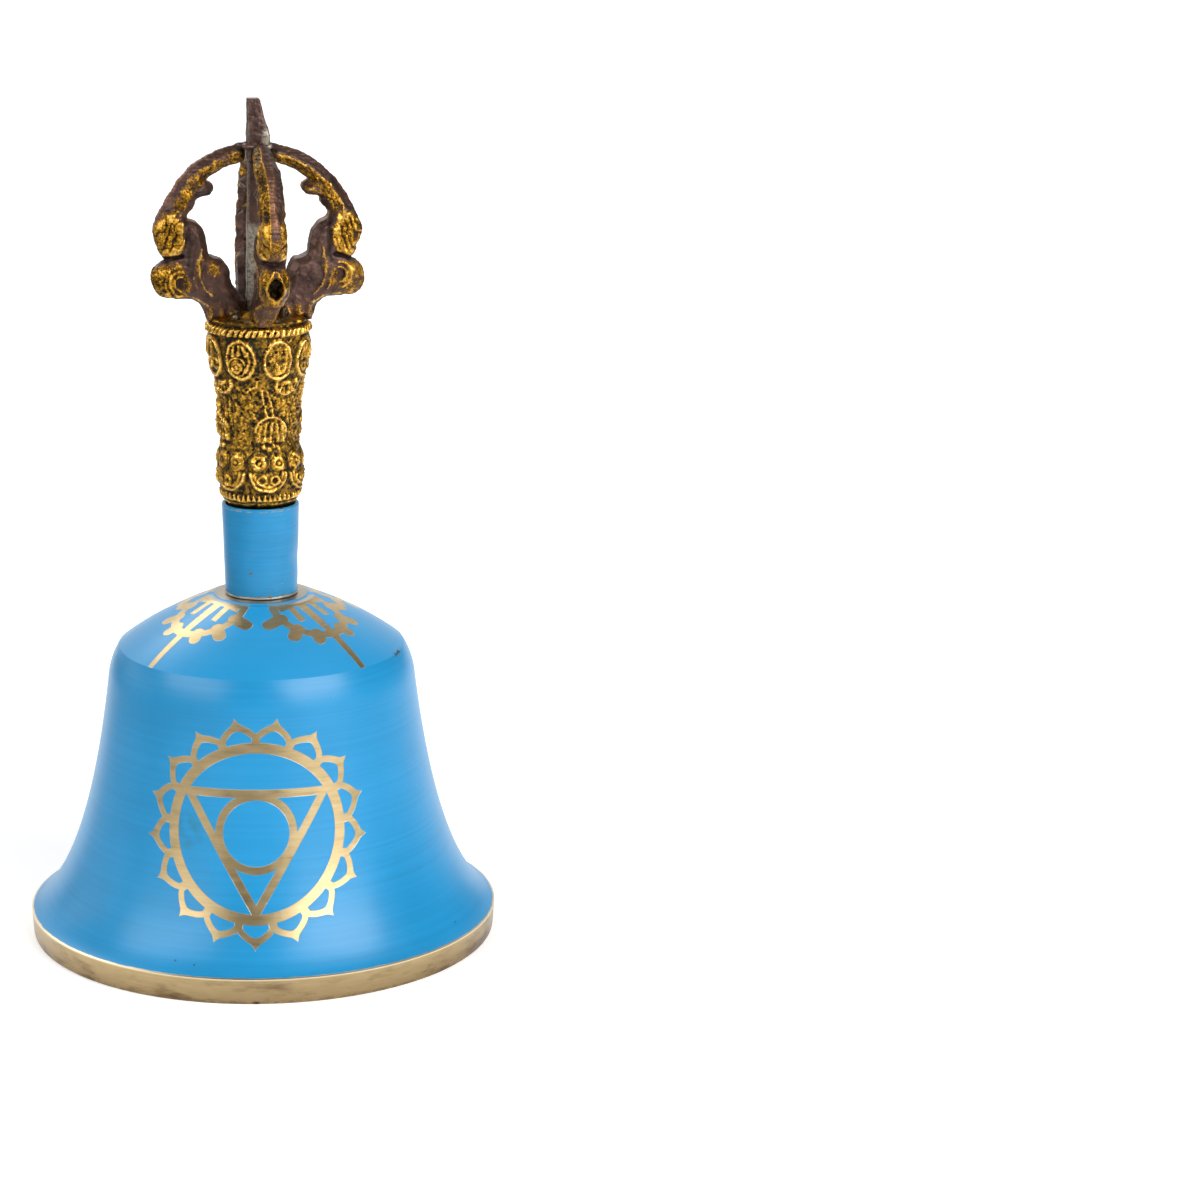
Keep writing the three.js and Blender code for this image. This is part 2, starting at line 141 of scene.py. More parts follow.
class StageSettings(bpy.types.PropertyGroup):
    floor: colour("Floor", "Colour of the paper floor", (0.93, 0.93, 0.93))
    glow: FloatProperty(name="Glow", description="Light that shines through the paper", default=0.40, min=0)
    surround: FloatProperty(
        name="Surround", description="Strength of the studio's surround", default=0.03, min=0,
    )
    backdrop: FloatProperty(name="Backdrop", description="Strength of the lit backdrop", default=0.85, min=0)
    key: FloatProperty(name="Key", description="Power of the right soft box", default=8.0, min=0, unit="POWER")
    fill: FloatProperty(name="Fill", description="Power of the left soft box", default=4.2, min=0, unit="POWER")
    lens: FloatProperty(
        name="Lens", description="Focal length of the camera", default=102.0,
        unit="CAMERA", subtype="DISTANCE_CAMERA",
    )


# Curves and meshes, in millimetres


def catmull(points, share):
    """A point of the smooth curve through all the points, at a share of its length in points."""
    points = np.asarray(points, float)
    at = np.atleast_1d(share) * (len(points) - 1)
    low = np.minimum(at.astype(int), len(points) - 2)
    t = (at - low)[:, None]
    p = [points[np.clip(low + step, 0, len(points) - 1)] for step in (-1, 0, 1, 2)]
    v0, v1 = (p[2] - p[0]) / 2, (p[3] - p[1]) / 2
    return (
        (2 * p[1] - 2 * p[2] + v0 + v1) * t**3 + (-3 * p[1] + 3 * p[2] - 2 * v0 - v1) * t**2 + v0 * t + p[1]
    )


def bezier(points, steps):
    t = np.linspace(0, 1, steps + 1)[:, None]
    points = [np.asarray(point, float) for point in points]
    while len(points) > 1:
        points = [a + (b - a) * t for a, b in zip(points, points[1:])]
    return points[0]


def smooth(value, low, high):
    share = np.clip((value - low) / (high - low), 0, 1)
    return share * share * (3 - 2 * share)


def wrapped(angle):
    return (angle + math.pi) % (2 * math.pi) - math.pi


def rough(points, size, seed, octaves=3):
    """Smooth noise at each point, about -1 to 1. Size is the width of its grains, in millimetres."""
    points = np.asarray(points, float) / size
    table = np.random.RandomState(seed).uniform(-1, 1, 4096)
    total, weight, whole = 0, 1.0, 0.0
    for octave in range(octaves):
        place = points * 2.0**octave + 17.3 * octave
        cell = np.floor(place).astype(np.int64)
        t = place - cell
        t = t * t * (3 - 2 * t)
        for corner in itertools.product((0, 1), repeat=3):
            at = cell + corner
            key = (at[..., 0] * 73856093 ^ at[..., 1] * 19349663 ^ at[..., 2] * 83492791) & 4095
            total = total + weight * table[key] * np.where(corner, t, 1 - t).prod(axis=-1)
        whole += weight
        weight *= 0.5
    return total / whole * 1.5


def ridge(distance, width):
    return np.exp(-((distance / width) ** 2))


def dome(x, y, radius):
    return np.sqrt(np.maximum(0, 1 - (x * x + y * y) / radius**2))


def to_segment(x, y, a, b):
    """Distance from each point to the line from a to b."""
    (ax, ay), (bx, by) = a, b
    share = np.clip(((x - ax) * (bx - ax) + (y - ay) * (by - ay)) / ((bx - ax) ** 2 + (by - ay) ** 2), 0, 1)
    return np.hypot(x - ax - share * (bx - ax), y - ay - share * (by - ay))


def to_path(x, y, *points):
    return np.minimum.reduce([to_segment(x, y, a, b) for a, b in zip(points, points[1:])])


def blurred(field, across, upward, ring=False):
    """The field smoothed over so many cells along its first and second axes."""
    rows = field.shape[0]
    pad = 0 if ring else rows
    tall = field.shape[1]
    wide = np.pad(field, ((pad, pad), (0, 0)), "edge") if pad else field
    wide = np.pad(wide, ((0, 0), (tall, tall)), "edge")
    fx = np.fft.fftfreq(wide.shape[0])[:, None] * across
    fy = np.fft.fftfreq(wide.shape[1])[None, :] * upward
    soft = np.fft.ifft2(np.fft.fft2(wide) * np.exp(-2 * math.pi**2 * (fx**2 + fy**2))).real
    return soft[pad : pad + rows, tall : 2 * tall]


def rounded(width, depth, corner, count):
    """Evenly spaced points of a rectangle with round corners, round the origin."""
    quarter = np.linspace(0, math.pi / 2, 6)
    angles = np.concatenate([quarter + turns * math.pi / 2 for turns in range(4)])
    x = np.repeat([1, -1, -1, 1], 6) * (width / 2 - corner) + corner * np.cos(angles)
    y = np.repeat([1, 1, -1, -1], 6) * (depth / 2 - corner) + corner * np.sin(angles)
    loop = np.c_[np.append(x, x[0]), np.append(y, y[0])]
    along = np.concatenate([[0], np.cumsum(np.hypot(*np.diff(loop, axis=0).T))])
    at = np.arange(count) * along[-1] / count
    return np.c_[np.interp(at, along, loop[:, 0]), np.interp(at, along, loop[:, 1])]


def lofted(rings, closed=False):
    """Points and faces of a skin over rings of points, capped, or closed from the last ring to the first."""
    rings = np.asarray(rings, float)
    rows, around = rings.shape[:2]
    points = rings.reshape(-1, 3)
    row, column = np.meshgrid(np.arange(rows if closed else rows - 1), np.arange(around), indexing="ij")
    this, that, after = row * around, (row + 1) % rows * around, (column + 1) % around
    corners = [this + column, this + after, that + after, that + column]
    faces = np.stack(corners, axis=-1).reshape(-1, 4).tolist()
    if not closed:
        points = np.vstack([points, rings[0].mean(axis=0), rings[-1].mean(axis=0)])
        low, high, last = rows * around, rows * around + 1, (rows - 1) * around
        for i in range(around):
            j = (i + 1) % around
            faces += [[low, j, i], [high, last + i, last + j]]
    return points, faces


def level(outline, height, x=0.0, y=0.0):
    """A level ring from an outline's points."""
    return np.c_[outline[:, 0] + x, outline[:, 1] + y, np.full(len(outline), height)]


def hoop(radius, angles, height):
    """A level ring from radii and angles."""
    return np.c_[radius * np.cos(angles), radius * np.sin(angles), np.full(len(angles), height)]


def round_axis(radius, angle, height):
    """Points at angles from the front, towards the right."""
    return np.stack(np.broadcast_arrays(radius * np.sin(angle), -radius * np.cos(angle), height), axis=-1)


def joined(*bodies):
    """The points and faces of several bodies as one."""
    points, faces = [], []
    for body_points, body_faces in bodies:
        start = sum(len(part) for part in points)
        faces += [[start + corner for corner in face] for face in body_faces]
        points.append(body_points)
    return np.vstack(points), faces


def mesh_piece(name, points, faces):
    """A new object from points in millimetres, with its place in its mesh."""
    mesh = bpy.data.meshes.new(name)
    mesh.from_pydata((np.asarray(points) * MM).tolist(), [], [list(face) for face in faces])
    mesh.update()
    mesh.shade_smooth()
    piece = bpy.data.objects.new(name, mesh)
    bpy.context.collection.objects.link(piece)
    return piece


def vertices_of(piece):
    co = np.empty(len(piece.data.vertices) * 3)
    piece.data.vertices.foreach_get("co", co)
    return co.reshape(-1, 3) / MM


def set_vertices(piece, points):
    piece.data.vertices.foreach_set("co", (np.asarray(points) * MM).ravel())
    piece.data.update()


def set_attributes(piece, **named):
    """Gives each point of a piece a value of each name."""
    for name, values in named.items():
        attribute = piece.data.attributes.new(name, "FLOAT", "POINT")
        attribute.data.foreach_set("value", np.asarray(values, np.float32))


def baked(piece, name):
    """A plain mesh from a piece and its modifiers, in the piece's place."""
    graph = bpy.context.evaluated_depsgraph_get()
    mesh = bpy.data.meshes.new_from_object(piece.evaluated_get(graph), depsgraph=graph)
    bpy.data.objects.remove(piece)
    result = bpy.data.objects.new(name, mesh)
    bpy.context.collection.objects.link(result)
    mesh.name = name
    return result


def face_outwards(piece):
    """Turns every face round if the closed mesh is inside out."""
    mesh = piece.data
    mesh.calc_loop_triangles()
    corners = np.array([tri.vertices[:] for tri in mesh.loop_triangles])
    a, b, c = (vertices_of(piece)[corners[:, i]] for i in range(3))
    if np.einsum("ij,ij->i", a, np.cross(b, c)).sum() < 0:
        mesh.flip_normals()


def finish_piece(piece, body, node, finish=None):
    """Coats a piece that has no finish yet, and puts it in a node's place on a body."""
    if finish:
        piece.data.materials.append(finish)
    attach(piece, body)
    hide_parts(node)


# Nodes


class Wire:
    """A number on its way through a tree's nodes."""

    def __init__(self, tree, socket):
        self.tree = tree
        self.socket = socket

    def into(self, operation, *others, clamp=False):
        node = add_node(self.tree, "ShaderNodeMath", {"operation": operation, "use_clamp": clamp})
        for socket, value in zip(node.inputs, (self, *others)):
            connect(self.tree, value, socket)
        return Wire(self.tree, node.outputs[0])

    def __add__(self, other):
        return self.into("ADD", other)

    __radd__ = __add__

    def __sub__(self, other):
        return self.into("SUBTRACT", other)

    def __rsub__(self, other):
        return (self * -1.0) + other

    def __mul__(self, other):
        return self.into("MULTIPLY", other)

    __rmul__ = __mul__

    def __truediv__(self, other):
        return self.into("DIVIDE", other)

    def __pow__(self, other):
        return self.into("POWER", other)

    def __abs__(self):
        return self.into("ABSOLUTE")

    def most(self, other):
        return self.into("MAXIMUM", other)

    def clamped(self):
        return self.into("ADD", 0.0, clamp=True)

    def between(self, low, high):
        """0 at low and below, 1 at high and above."""
        return ((self - low) / (high - low)).clamped()


def connect(tree, value, socket):
    """Links a node's output or a wire to a socket, or sets the socket's own value."""
    value = getattr(value, "socket", value)
    if isinstance(value, bpy.types.NodeSocket):
        tree.links.new(value, socket)
    elif isinstance(value, (tuple, list)) and len(value) == 3 and socket.type == "RGBA":
        socket.default_value = (*value, 1.0)
    else:
        socket.default_value = value


def add_node(tree, kind, modes=None, **inputs):
    """A new node with its modes set, and its inputs linked or set by their names."""
    node = tree.nodes.new(kind)
    for name, mode in (modes or {}).items():
        setattr(node, name, mode)
    for name, value in inputs.items():
        connect(tree, value, node.inputs[name.replace("_", " ")])
    return node


# Geometry Nodes


def group_with(name, **inputs):
    """A new tree, its input sockets and its last node."""
    tree = bpy.data.node_groups.new(name, "GeometryNodeTree")
    for label, kind in {"Geometry": "NodeSocketGeometry", **inputs}.items():
        tree.interface.new_socket(label, in_out="INPUT", socket_type=kind)
    tree.interface.new_socket("Geometry", in_out="OUTPUT", socket_type="NodeSocketGeometry")
    return tree, tree.nodes.new("NodeGroupInput").outputs, tree.nodes.new("NodeGroupOutput")


def end_tree(tree, geometry, finish, end):
    """Every tree ends in Realize Instances and Set Material."""
    whole = add_node(tree, "GeometryNodeRealizeInstances", Geometry=geometry).outputs[0]
    coat = add_node(tree, "GeometryNodeSetMaterial", Geometry=whole, Material=finish)
    tree.links.new(coat.outputs[0], end.inputs[0])


def lathe_tree():
    """Turns the points of a profile, radius in X and height in Z, round the Z axis."""
    tree, start, end = group_with("Lathe", Facets="NodeSocketInt", Finish="NodeSocketMaterial")
    line, facets = start["Geometry"], Wire(tree, start["Facets"])
    rows = Wire(tree, add_node(tree, "GeometryNodeAttributeDomainSize", Geometry=line).outputs["Point Count"])
    grid = add_node(tree, "GeometryNodeMeshGrid", Vertices_X=facets + 1.0, Vertices_Y=rows)
    index = Wire(tree, add_node(tree, "GeometryNodeInputIndex").outputs[0])
    angle = (index / rows).into("FLOOR") / facets * (2 * math.pi)
    row = index.into("MODULO", rows)

    def of_row(value, kind):
        """What the profile says at each point's row."""
        inputs = {"Geometry": line, "Value": value, "Index": row}
        return add_node(tree, "GeometryNodeSampleIndex", {"data_type": kind}, **inputs).outputs[0]

    place = of_row(add_node(tree, "GeometryNodeInputPosition").outputs[0], "FLOAT_VECTOR")
    parts = add_node(tree, "ShaderNodeSeparateXYZ", Vector=place).outputs
    reach, _, height = (Wire(tree, part) for part in parts)
    across, ahead = reach * angle.into("SINE"), reach * angle.into("COSINE") * -1.0
    spot = add_node(tree, "ShaderNodeCombineXYZ", X=across, Y=ahead, Z=height).outputs[0]
    skin = add_node(tree, "GeometryNodeSetPosition", Geometry=grid.outputs["Mesh"], Position=spot).outputs[0]
    arc = of_row(add_node(tree, "GeometryNodeInputNamedAttribute", Name="arc").outputs["Attribute"], "FLOAT")
    kept = add_node(tree, "GeometryNodeStoreNamedAttribute", Geometry=skin, Name="arc", Value=arc).outputs[0]
    weld = add_node(tree, "GeometryNodeMergeByDistance", Geometry=kept, Distance=1e-6)
    end_tree(tree, weld.outputs[0], start["Finish"], end)
    return tree


def wire_tree():
    """Bends a round wire along the edges of a mesh."""
    sockets = {"Radius": "NodeSocketFloat", "Facets": "NodeSocketInt", "Finish": "NodeSocketMaterial"}
    tree, start, end = group_with("Wire", **sockets)
    path = add_node(tree, "GeometryNodeMeshToCurve", Mesh=start["Geometry"]).outputs[0]
    circle = add_node(tree, "GeometryNodeCurvePrimitiveCircle", Resolution=start["Facets"], Radius=start["Radius"])
    sweep = add_node(
        tree, "GeometryNodeCurveToMesh", Curve=path, Profile_Curve=circle.outputs[0], Fill_Caps=True
    )
    end_tree(tree, sweep.outputs[0], start["Finish"], end)
    return tree


def with_tree(piece, tree, **values):
    """Adds a Geometry Nodes modifier and sets its inputs by their identifiers."""
    modifier = piece.modifiers.new(tree.name, "NODES")
    modifier.node_group = tree
    named = {item.name: item.identifier for item in tree.interface.items_tree if item.in_out == "INPUT"}
    for label, value in values.items():
        modifier[named[label]] = value
    return piece


def turned(name, profile, facets, finish, arcs=None):
    """A closed turned piece from a profile of [radius, height] points."""
    profile = np.asarray(profile, float)
    line = mesh_piece(name + "_profile", np.c_[profile[:, 0], 0 * profile[:, 0], profile[:, 1]], [])
    set_attributes(line, arc=np.zeros(len(profile)) if arcs is None else arcs)
    tree = bpy.data.node_groups.get("Lathe") or lathe_tree()
    with_tree(line, tree, Facets=facets, Finish=finish)
    piece = baked(line, name)
    piece.data.shade_smooth()
    face_outwards(piece)
    return piece


def crease(piece, degrees=35):
    """Keeps edges sharper than an angle crisp."""
    piece.data.set_sharp_from_angle(angle=math.radians(degrees))
    return piece


def surface_net(field, low, step):
    """Points and faces of the surface where a field on a grid is 0. The field is under 0 inside."""
    step = np.broadcast_to(step, 3)
    cells = np.array(field.shape) - 1
    total = np.zeros((*cells, 3))
    hits = np.zeros(cells)
    crossings = []
    for axis in range(3):
        start = np.take(field, range(cells[axis]), axis)
        end = np.take(field, range(1, cells[axis] + 1), axis)
        cross = (start < 0) != (end < 0)
        share = np.where(cross, start / np.where(cross, start - end, 1), 0)
        crossings.append((cross, start < 0))
        u, v = (axis + 1) % 3, (axis + 2) % 3
        for du, dv in itertools.product((0, 1), repeat=2):
            part = [slice(None)] * 3
            part[u] = slice(du, du + cells[u])
            part[v] = slice(dv, dv + cells[v])
            on = cross[tuple(part)]
            hits += on
            total[..., axis] += share[tuple(part)]
            total[..., u] += du * on
            total[..., v] += dv * on
    active = hits > 0
    ids = np.full(cells, -1)
    ids[active] = np.arange(active.sum())
    points = low + (np.argwhere(active) + total[active] / hits[active][:, None]) * step
    faces = []
    for axis, (cross, under) in enumerate(crossings):
        u, v = (axis + 1) % 3, (axis + 2) % 3
        at = np.argwhere(cross)
        at = at[(at[:, u] > 0) & (at[:, v] > 0) & (at[:, u] < cells[u]) & (at[:, v] < cells[v])]
        ring = []
        for du, dv in ((1, 1), (0, 1), (0, 0), (1, 0)):
            shift = np.zeros(3, int)
            shift[u], shift[v] = du, dv
            ring.append(ids[tuple((at - shift).T)])
        quads = np.stack(ring, axis=1)
        inner = under[tuple(at.T)]
        faces.append(np.where(inner[:, None], quads, quads[:, ::-1]))
    return points, np.vstack(faces)


def along_normals(piece, heights):
    """Moves each point out along its normal, by millimetres."""
    normals = np.empty(len(piece.data.vertices) * 3)
    piece.data.vertices.foreach_get("normal", normals)
    set_vertices(piece, vertices_of(piece) + normals.reshape(-1, 3) * np.asarray(heights)[:, None])


# Finishes


def hypot(a, b):
    return (a * a + b * b).into("SQRT")


class Finish:
    """A material on one Principled shader, with helpers that add its nodes."""

    def __init__(self, name):
        self.material = bpy.data.materials.new(name)
        self.material.use_nodes = True
        self.tree = self.material.node_tree
        self.shader = self.tree.nodes["Principled BSDF"]
        self.place = self.wire("ShaderNodeTexCoord", "Object")
        split = self.node("ShaderNodeSeparateXYZ", Vector=self.place)
        self.x, self.y, self.z = (Wire(self.tree, out) * 1000.0 for out in split.outputs)

    def node(self, kind, modes=None, **inputs):
        return add_node(self.tree, kind, modes, **inputs)

    def wire(self, kind, output, modes=None, **inputs):
        """One output of a new node."""
        return Wire(self.tree, self.node(kind, modes, **inputs).outputs[output])

    def set(self, **values):
        for label, value in values.items():
            connect(self.tree, value, self.shader.inputs[label.replace("_", " ")])

    def attribute(self, name):
        return self.wire("ShaderNodeAttribute", "Fac", {"attribute_name": name})

    def scaled(self, across, upward):
        """The place in millimetres, stretched for streaks that run round the axis."""
        scale = (1000 * across, 1000 * across, 1000 * upward)
        return self.wire("ShaderNodeMapping", 0, Vector=self.place, Scale=scale)

    def grain(self, across, upward=None, detail=4.0, roughness=0.55, shift=0.0):
        """Noise from 0 to 1, in grains per millimetre across and upward."""
        place = self.scaled(across, across if upward is None else upward)
        inputs = {"Vector": place, "Scale": 1.0, "W": shift, "Detail": detail, "Roughness": roughness}
        return self.wire("ShaderNodeTexNoise", "Fac", {"noise_dimensions": "4D"}, **inputs)

    def specks(self, across, share, shift=0.0):
        """1 in small round specks, 0 elsewhere."""
        inputs = {"Vector": self.scaled(across, across), "Scale": 1.0, "W": shift}
        cells = self.node("ShaderNodeTexVoronoi", {"voronoi_dimensions": "4D"}, **inputs)
        split = self.node("ShaderNodeSeparateColor", Color=cells.outputs["Color"])
        chosen = Wire(self.tree, split.outputs[0]).between(1 - share, 1 - share * 0.9)
        size = Wire(self.tree, split.outputs[1]) * 0.22 + 0.06
        near = (size - Wire(self.tree, cells.outputs["Distance"])).between(0.0, 0.05)
        return near * chosen

    def ramp(self, factor, *stops):
        """A colour for a number, from stops of (number, colour)."""
        node = self.node("ShaderNodeValToRGB", Fac=factor)
        band = node.color_ramp
        while len(band.elements) < len(stops):
            band.elements.new(0.5)
        for element, (position, shade) in zip(band.elements, stops):
            element.position = position
            element.color = (*shade, 1.0)
        return Wire(self.tree, node.outputs["Color"])

    def mix(self, factor, a, b):
        """Colour a where the factor is 0 and colour b where it is 1."""
        node = self.node("ShaderNodeMix", {"data_type": "RGBA"})
        for index, value in ((0, factor), (6, a), (7, b)):
            connect(self.tree, value, node.inputs[index])
        return Wire(self.tree, node.outputs[2])

    def relief(self, height, depth, before=None):
        """A bump whose height of 1 stands this many millimetres."""
        inputs = {"Normal": before} if before else {}
        return self.wire("ShaderNodeBump", 0, Distance=depth * MM, Height=height, **inputs)


def reused(name, make, settings):
    """The finish of this name, made only once."""
    return bpy.data.materials.get(name) or make(settings)


def inside(distance, soft=0.12):
    """1 where a signed distance in millimetres is under 0, with a soft edge."""
    return (0.5 - distance / soft).clamped()


EMBLEM_PETALS = 17
EMBLEM_HEIGHT = 31.7
CREASE_HEIGHT = 62.0


def emblem_mask(around, along):
    """The waist's emblem: a ring of 17 petals, a triangle on its point and a small circle."""
    reach = hypot(around, along)
    half = math.radians(180 / EMBLEM_PETALS)
    bearing = around.into("ARCTAN2", along * -1.0)
    share = abs(bearing.into("WRAP", half, -half)) / half
    point = (1.0 - share / 0.25).most(0.0)
    petal = 20.1 + (1.0 - share).most(0.0) ** 0.78 * 2.7 + point * point * 0.9
    hollow = 21.05 - share**1.5 * 2.6
    rim = inside(reach - petal) * inside(16.3 - reach)
    rim = rim * (1.0 - inside(18.45 - reach) * inside(reach - hollow) * inside(share * 3.6 - 2.72))
    circle = inside(abs(reach - 7.52) - 0.78)
    edge = along.most(abs(around) * math.sqrt(0.75) - along * 0.5)
    triangle = inside(abs(edge - 8.05) - 0.84) * inside(reach - 17.2)
    return rim.most(circle).most(triangle)


def crest_mask(radius, azimuth, start):
    """The shoulder's pattern, four round: a scalloped ring crossed by a long spoke."""
    quarter = abs((azimuth - start).into("WRAP", math.pi, -math.pi)).into("PINGPONG", math.pi / 2)
    turned = quarter - math.radians(46.95)
    across = radius * turned.into("SINE")
    outward = radius * turned.into("COSINE")
    beyond = outward - 13.6
    reach = hypot(across, beyond)
    ring = inside(abs(reach - 7.25) - 0.85)
    bearing = abs(across.into("ARCTAN2", beyond))
    pitch = math.radians(33)
    local = (bearing - math.radians(28)).into("WRAP", pitch / 2, -pitch / 2)
    middle = bearing * 1.6 + 7.75
    along = reach * local.into("COSINE")
    away = (along - middle).most(0.0) + (7.0 - along).most(0.0)
    lobe = hypot(reach * local.into("SINE"), away) - 1.32
    lobes = inside(lobe) * inside(bearing * 6.0 - 11.6)
    width = 1.12 - (outward - 10.8) * (0.42 / 18.8)
    spoke = inside(abs(across) - width) * inside(outward - 29.6) * inside(10.4 - outward)
    lean = (outward - 10.8) * (0.7 / 4.8) + 2.75
    rays = inside(abs(abs(across) - lean) - 0.74) * inside(outward - 15.8) * inside(10.4 - outward)
    collar = inside(outward - 11.7) * inside(abs(across) - 5.6)
    return ring.most(lobes).most(spoke).most(rays).most(collar)


def cup_finish(cup):
    """Blue enamel over turned brass, etched through to the metal."""
    made = Finish("blue enamel and brass")
    arc = made.attribute("arc")
    azimuth = made.attribute("azimuth")
    radius = hypot(made.x, made.y)
    outside = inside(-40.0 - arc, 2.0)
    around = radius * (azimuth - cup.emblem_turn)
    emblem = emblem_mask(around, arc - made_arc(EMBLEM_HEIGHT))
    wander = (made.grain(0.35, detail=2.0) - 0.5) * 0.5
    band = cup.band / MM
    below = inside(made.z - (band + 0.17) - wander * 0.5, 0.06)
    on_crown = inside(57.5 - made.z, 0.4)
    crest = crest_mask(radius, azimuth, cup.crest_turn) * on_crown * inside(made.z - 72.4, 0.2)
    boss = inside(radius - (cup.boss / MM) - wander, 0.15) * on_crown
    torn = made.grain(1.7, detail=3.0, shift=4.0)
    chips = made.specks(0.16, 0.05, 2.0) * torn.between(0.46, 0.5)
    crack = made.grain(0.9, detail=4.0, roughness=0.7, shift=14.0)
    corner = 1.0 - abs(made.z - CREASE_HEIGHT).between(0.2, 1.0)
    beaten = 1.0 - abs((azimuth - math.radians(64)).into("WRAP", math.pi, -math.pi)).between(0.04, 0.22)
    chips = chips.most((crack + corner * (0.06 + beaten * 0.22) - 0.76).between(0.0, 0.02))
    bare_lines = emblem.most(crest)
    bare = bare_lines.most(below).most(boss).most(chips) * outside
    bare = bare.most(1.0 - outside)
    turning = made.grain(0.02, 9.0, detail=5.0, roughness=0.7)
    brushed = made.grain(0.03, 2.6, detail=4.0, roughness=0.75, shift=16.0)
    turning_wide = made.grain(0.012, 1.6, detail=2.0, shift=3.0)
    cloud = made.grain(0.045, detail=2.0, shift=9.0)
    tone = made.ramp(
        cloud * 0.6 + turning_wide * 0.4,
        (0.3, tuple(0.86 * c for c in cup.enamel)),
        (0.5, tuple(cup.enamel)),
        (0.72, tuple(min(1.0, 1.1 * c + 0.008) for c in cup.enamel)),
    )
    # painted light: the enamel above the crease is painted lighter, standing in for light from above on the crown
    crown = inside(CREASE_HEIGHT - made.z, 0.3)
    tone = made.mix(crown * 0.5, tone, tuple(min(1.0, 1.22 * c + 0.004) for c in cup.enamel))
    tone = made.mix(made.specks(0.85, 0.03, 5.0) * 0.8, tone, (0.02, 0.04, 0.06))
    tone = made.mix(made.specks(0.8, 0.012, 8.0) * 0.6, tone, (0.3, 0.6, 0.85))
    green = made.grain(0.3, detail=3.0, shift=17.0).between(0.44, 0.6)
    spot = hypot(radius * (azimuth - math.radians(-32.2)), made.z - 31.0)
    tone = made.mix(inside(spot - 3.4, 2.0) * green * 0.5, tone, (0.03, 0.16, 0.16))
    tarnish = made.grain(0.22, 0.8, detail=5.0, shift=1.0)
    brass = made.ramp(
        tarnish * 0.35 + turning * 0.3 + brushed * 0.2 + 0.08,
        (0.34, tuple(0.52 * c for c in cup.etch)),
        (0.46, tuple(cup.etch)),
        (0.66, tuple(min(1.0, 1.22 * c + 0.04) for c in cup.etch)),
    )
    brass = made.mix(boss * 0.8, brass, (0.30, 0.28, 0.24))
    brass = made.mix(chips * outside * 0.85, brass, (0.05, 0.035, 0.02))
    edge = made.grain(0.6, detail=2.0, shift=6.0).between(0.4, 0.6)
    brass = made.mix((1.0 - outside) * 0.55, brass, (0.20, 0.13, 0.06))
    stain = made.grain(0.07, 0.25, detail=5.0, roughness=0.6, shift=12.0).between(0.50, 0.66)
    on_band = inside(made.z - (band - 0.35), 0.2)
    # painted shade: the band is painted darker towards its foot, standing in for the darker floor it reflects; the
    # stains add real tarnish
    low = 1.0 - made.z.between(0.2, band - 0.6)
    tarnish_and_shade = (stain * 0.4 + low * 0.32 + brushed * 0.5 + 0.08).clamped()
    brass = made.mix(on_band * tarnish_and_shade, brass, (0.13, 0.08, 0.04))
    brass = made.mix(inside(made.z - 0.7, 0.5) * edge * 0.6, brass, (0.12, 0.08, 0.04))
    notch = hypot(radius * (azimuth - math.radians(-8.4)), made.z * 1.3)
    brass = made.mix(inside(notch - 0.75, 0.5) * outside, brass, (0.02, 0.015, 0.01))
    # painted highlight: a pale line along the top of the bare band, where it catches light from above
    band_highlight = inside(abs(made.z - (band + 0.02)) - 0.2, 0.1)
    brass = made.mix(band_highlight * 0.8, brass, (0.86, 0.74, 0.52))
    made.set(
        Base_Color=made.mix(bare, tone, brass),
        Metallic=bare * 0.96,
        Roughness=made_mix(bare, turning * 0.10 + 0.28 + cloud * 0.04, tarnish * 0.22 + 0.24),
        Anisotropic=0.5,
        Anisotropic_Rotation=0.25,
    )
    coat = made.relief((1.0 - bare) * 1.0, 0.045)
    lines = made.relief(turning * bare * 2.2 + brushed * (1.0 - bare), 0.016, coat)
    made.set(Normal=made.relief(made.grain(0.9, detail=3.0, shift=2.0), 0.005, lines))
    return made.material


def made_mix(factor, a, b):
    """A number between a, where the factor is 0, and b, where it is 1."""
    return a + (b - a) * factor


# Cup


def cup_outside(cup):
    """The cup's outside, from the band's top to the boss, in millimetres."""
    lip = cup.lip / MM
    band = cup.band / MM
    flare = bezier([(lip, band), (46.49, 6.4), (36.75, 13.53), (31.8, 56.4)], 96)
    shoulder = bezier([(31.8, 56.4), (31.2, 59.6), (29.64, 62.02)], 14)
    crown = bezier([(29.64, 62.02), (22.34, 67.62), (11.5, 72.11)], 30)
    return np.vstack([flare, shoulder[1:], crown[1:]])


OUTSIDE = None


def arcs_of(profile):
    steps = np.hypot(*np.diff(profile, axis=0).T)
    return np.concatenate([[0], np.cumsum(steps)])


def made_arc(height):
    """The distance up the cup's outside from the band to a height."""
    return float(np.interp(height, OUTSIDE[:, 1], arcs_of(OUTSIDE)))


def cup_wall(height, wall):
    return wall + 0.8 * np.maximum(0, 1 - height / 30) ** 2


def azimuth_corners(piece):
    """The angle round the axis at each face corner, whole across the seam at the back."""
    mesh = piece.data
    points = vertices_of(piece)
    angles = np.arctan2(points[:, 0], -points[:, 1])
    corner = np.empty(len(mesh.loops), int)
    mesh.loops.foreach_get("vertex_index", corner)
    starts = np.empty(len(mesh.polygons), int)
    mesh.polygons.foreach_get("loop_start", starts)
    totals = np.empty(len(mesh.polygons), int)
    mesh.polygons.foreach_get("loop_total", totals)
    first = np.repeat(angles[corner[starts]], totals)
    values = first + wrapped(angles[corner] - first)
    # a face that crosses the seam at the back is moved whole to one side of it
    values -= np.repeat(np.where(np.maximum.reduceat(values, starts) > math.pi + 1e-3, 2 * math.pi, 0), totals)
    attribute = mesh.attributes.new("azimuth", "FLOAT", "CORNER")
    attribute.data.foreach_set("value", values.astype(np.float32))


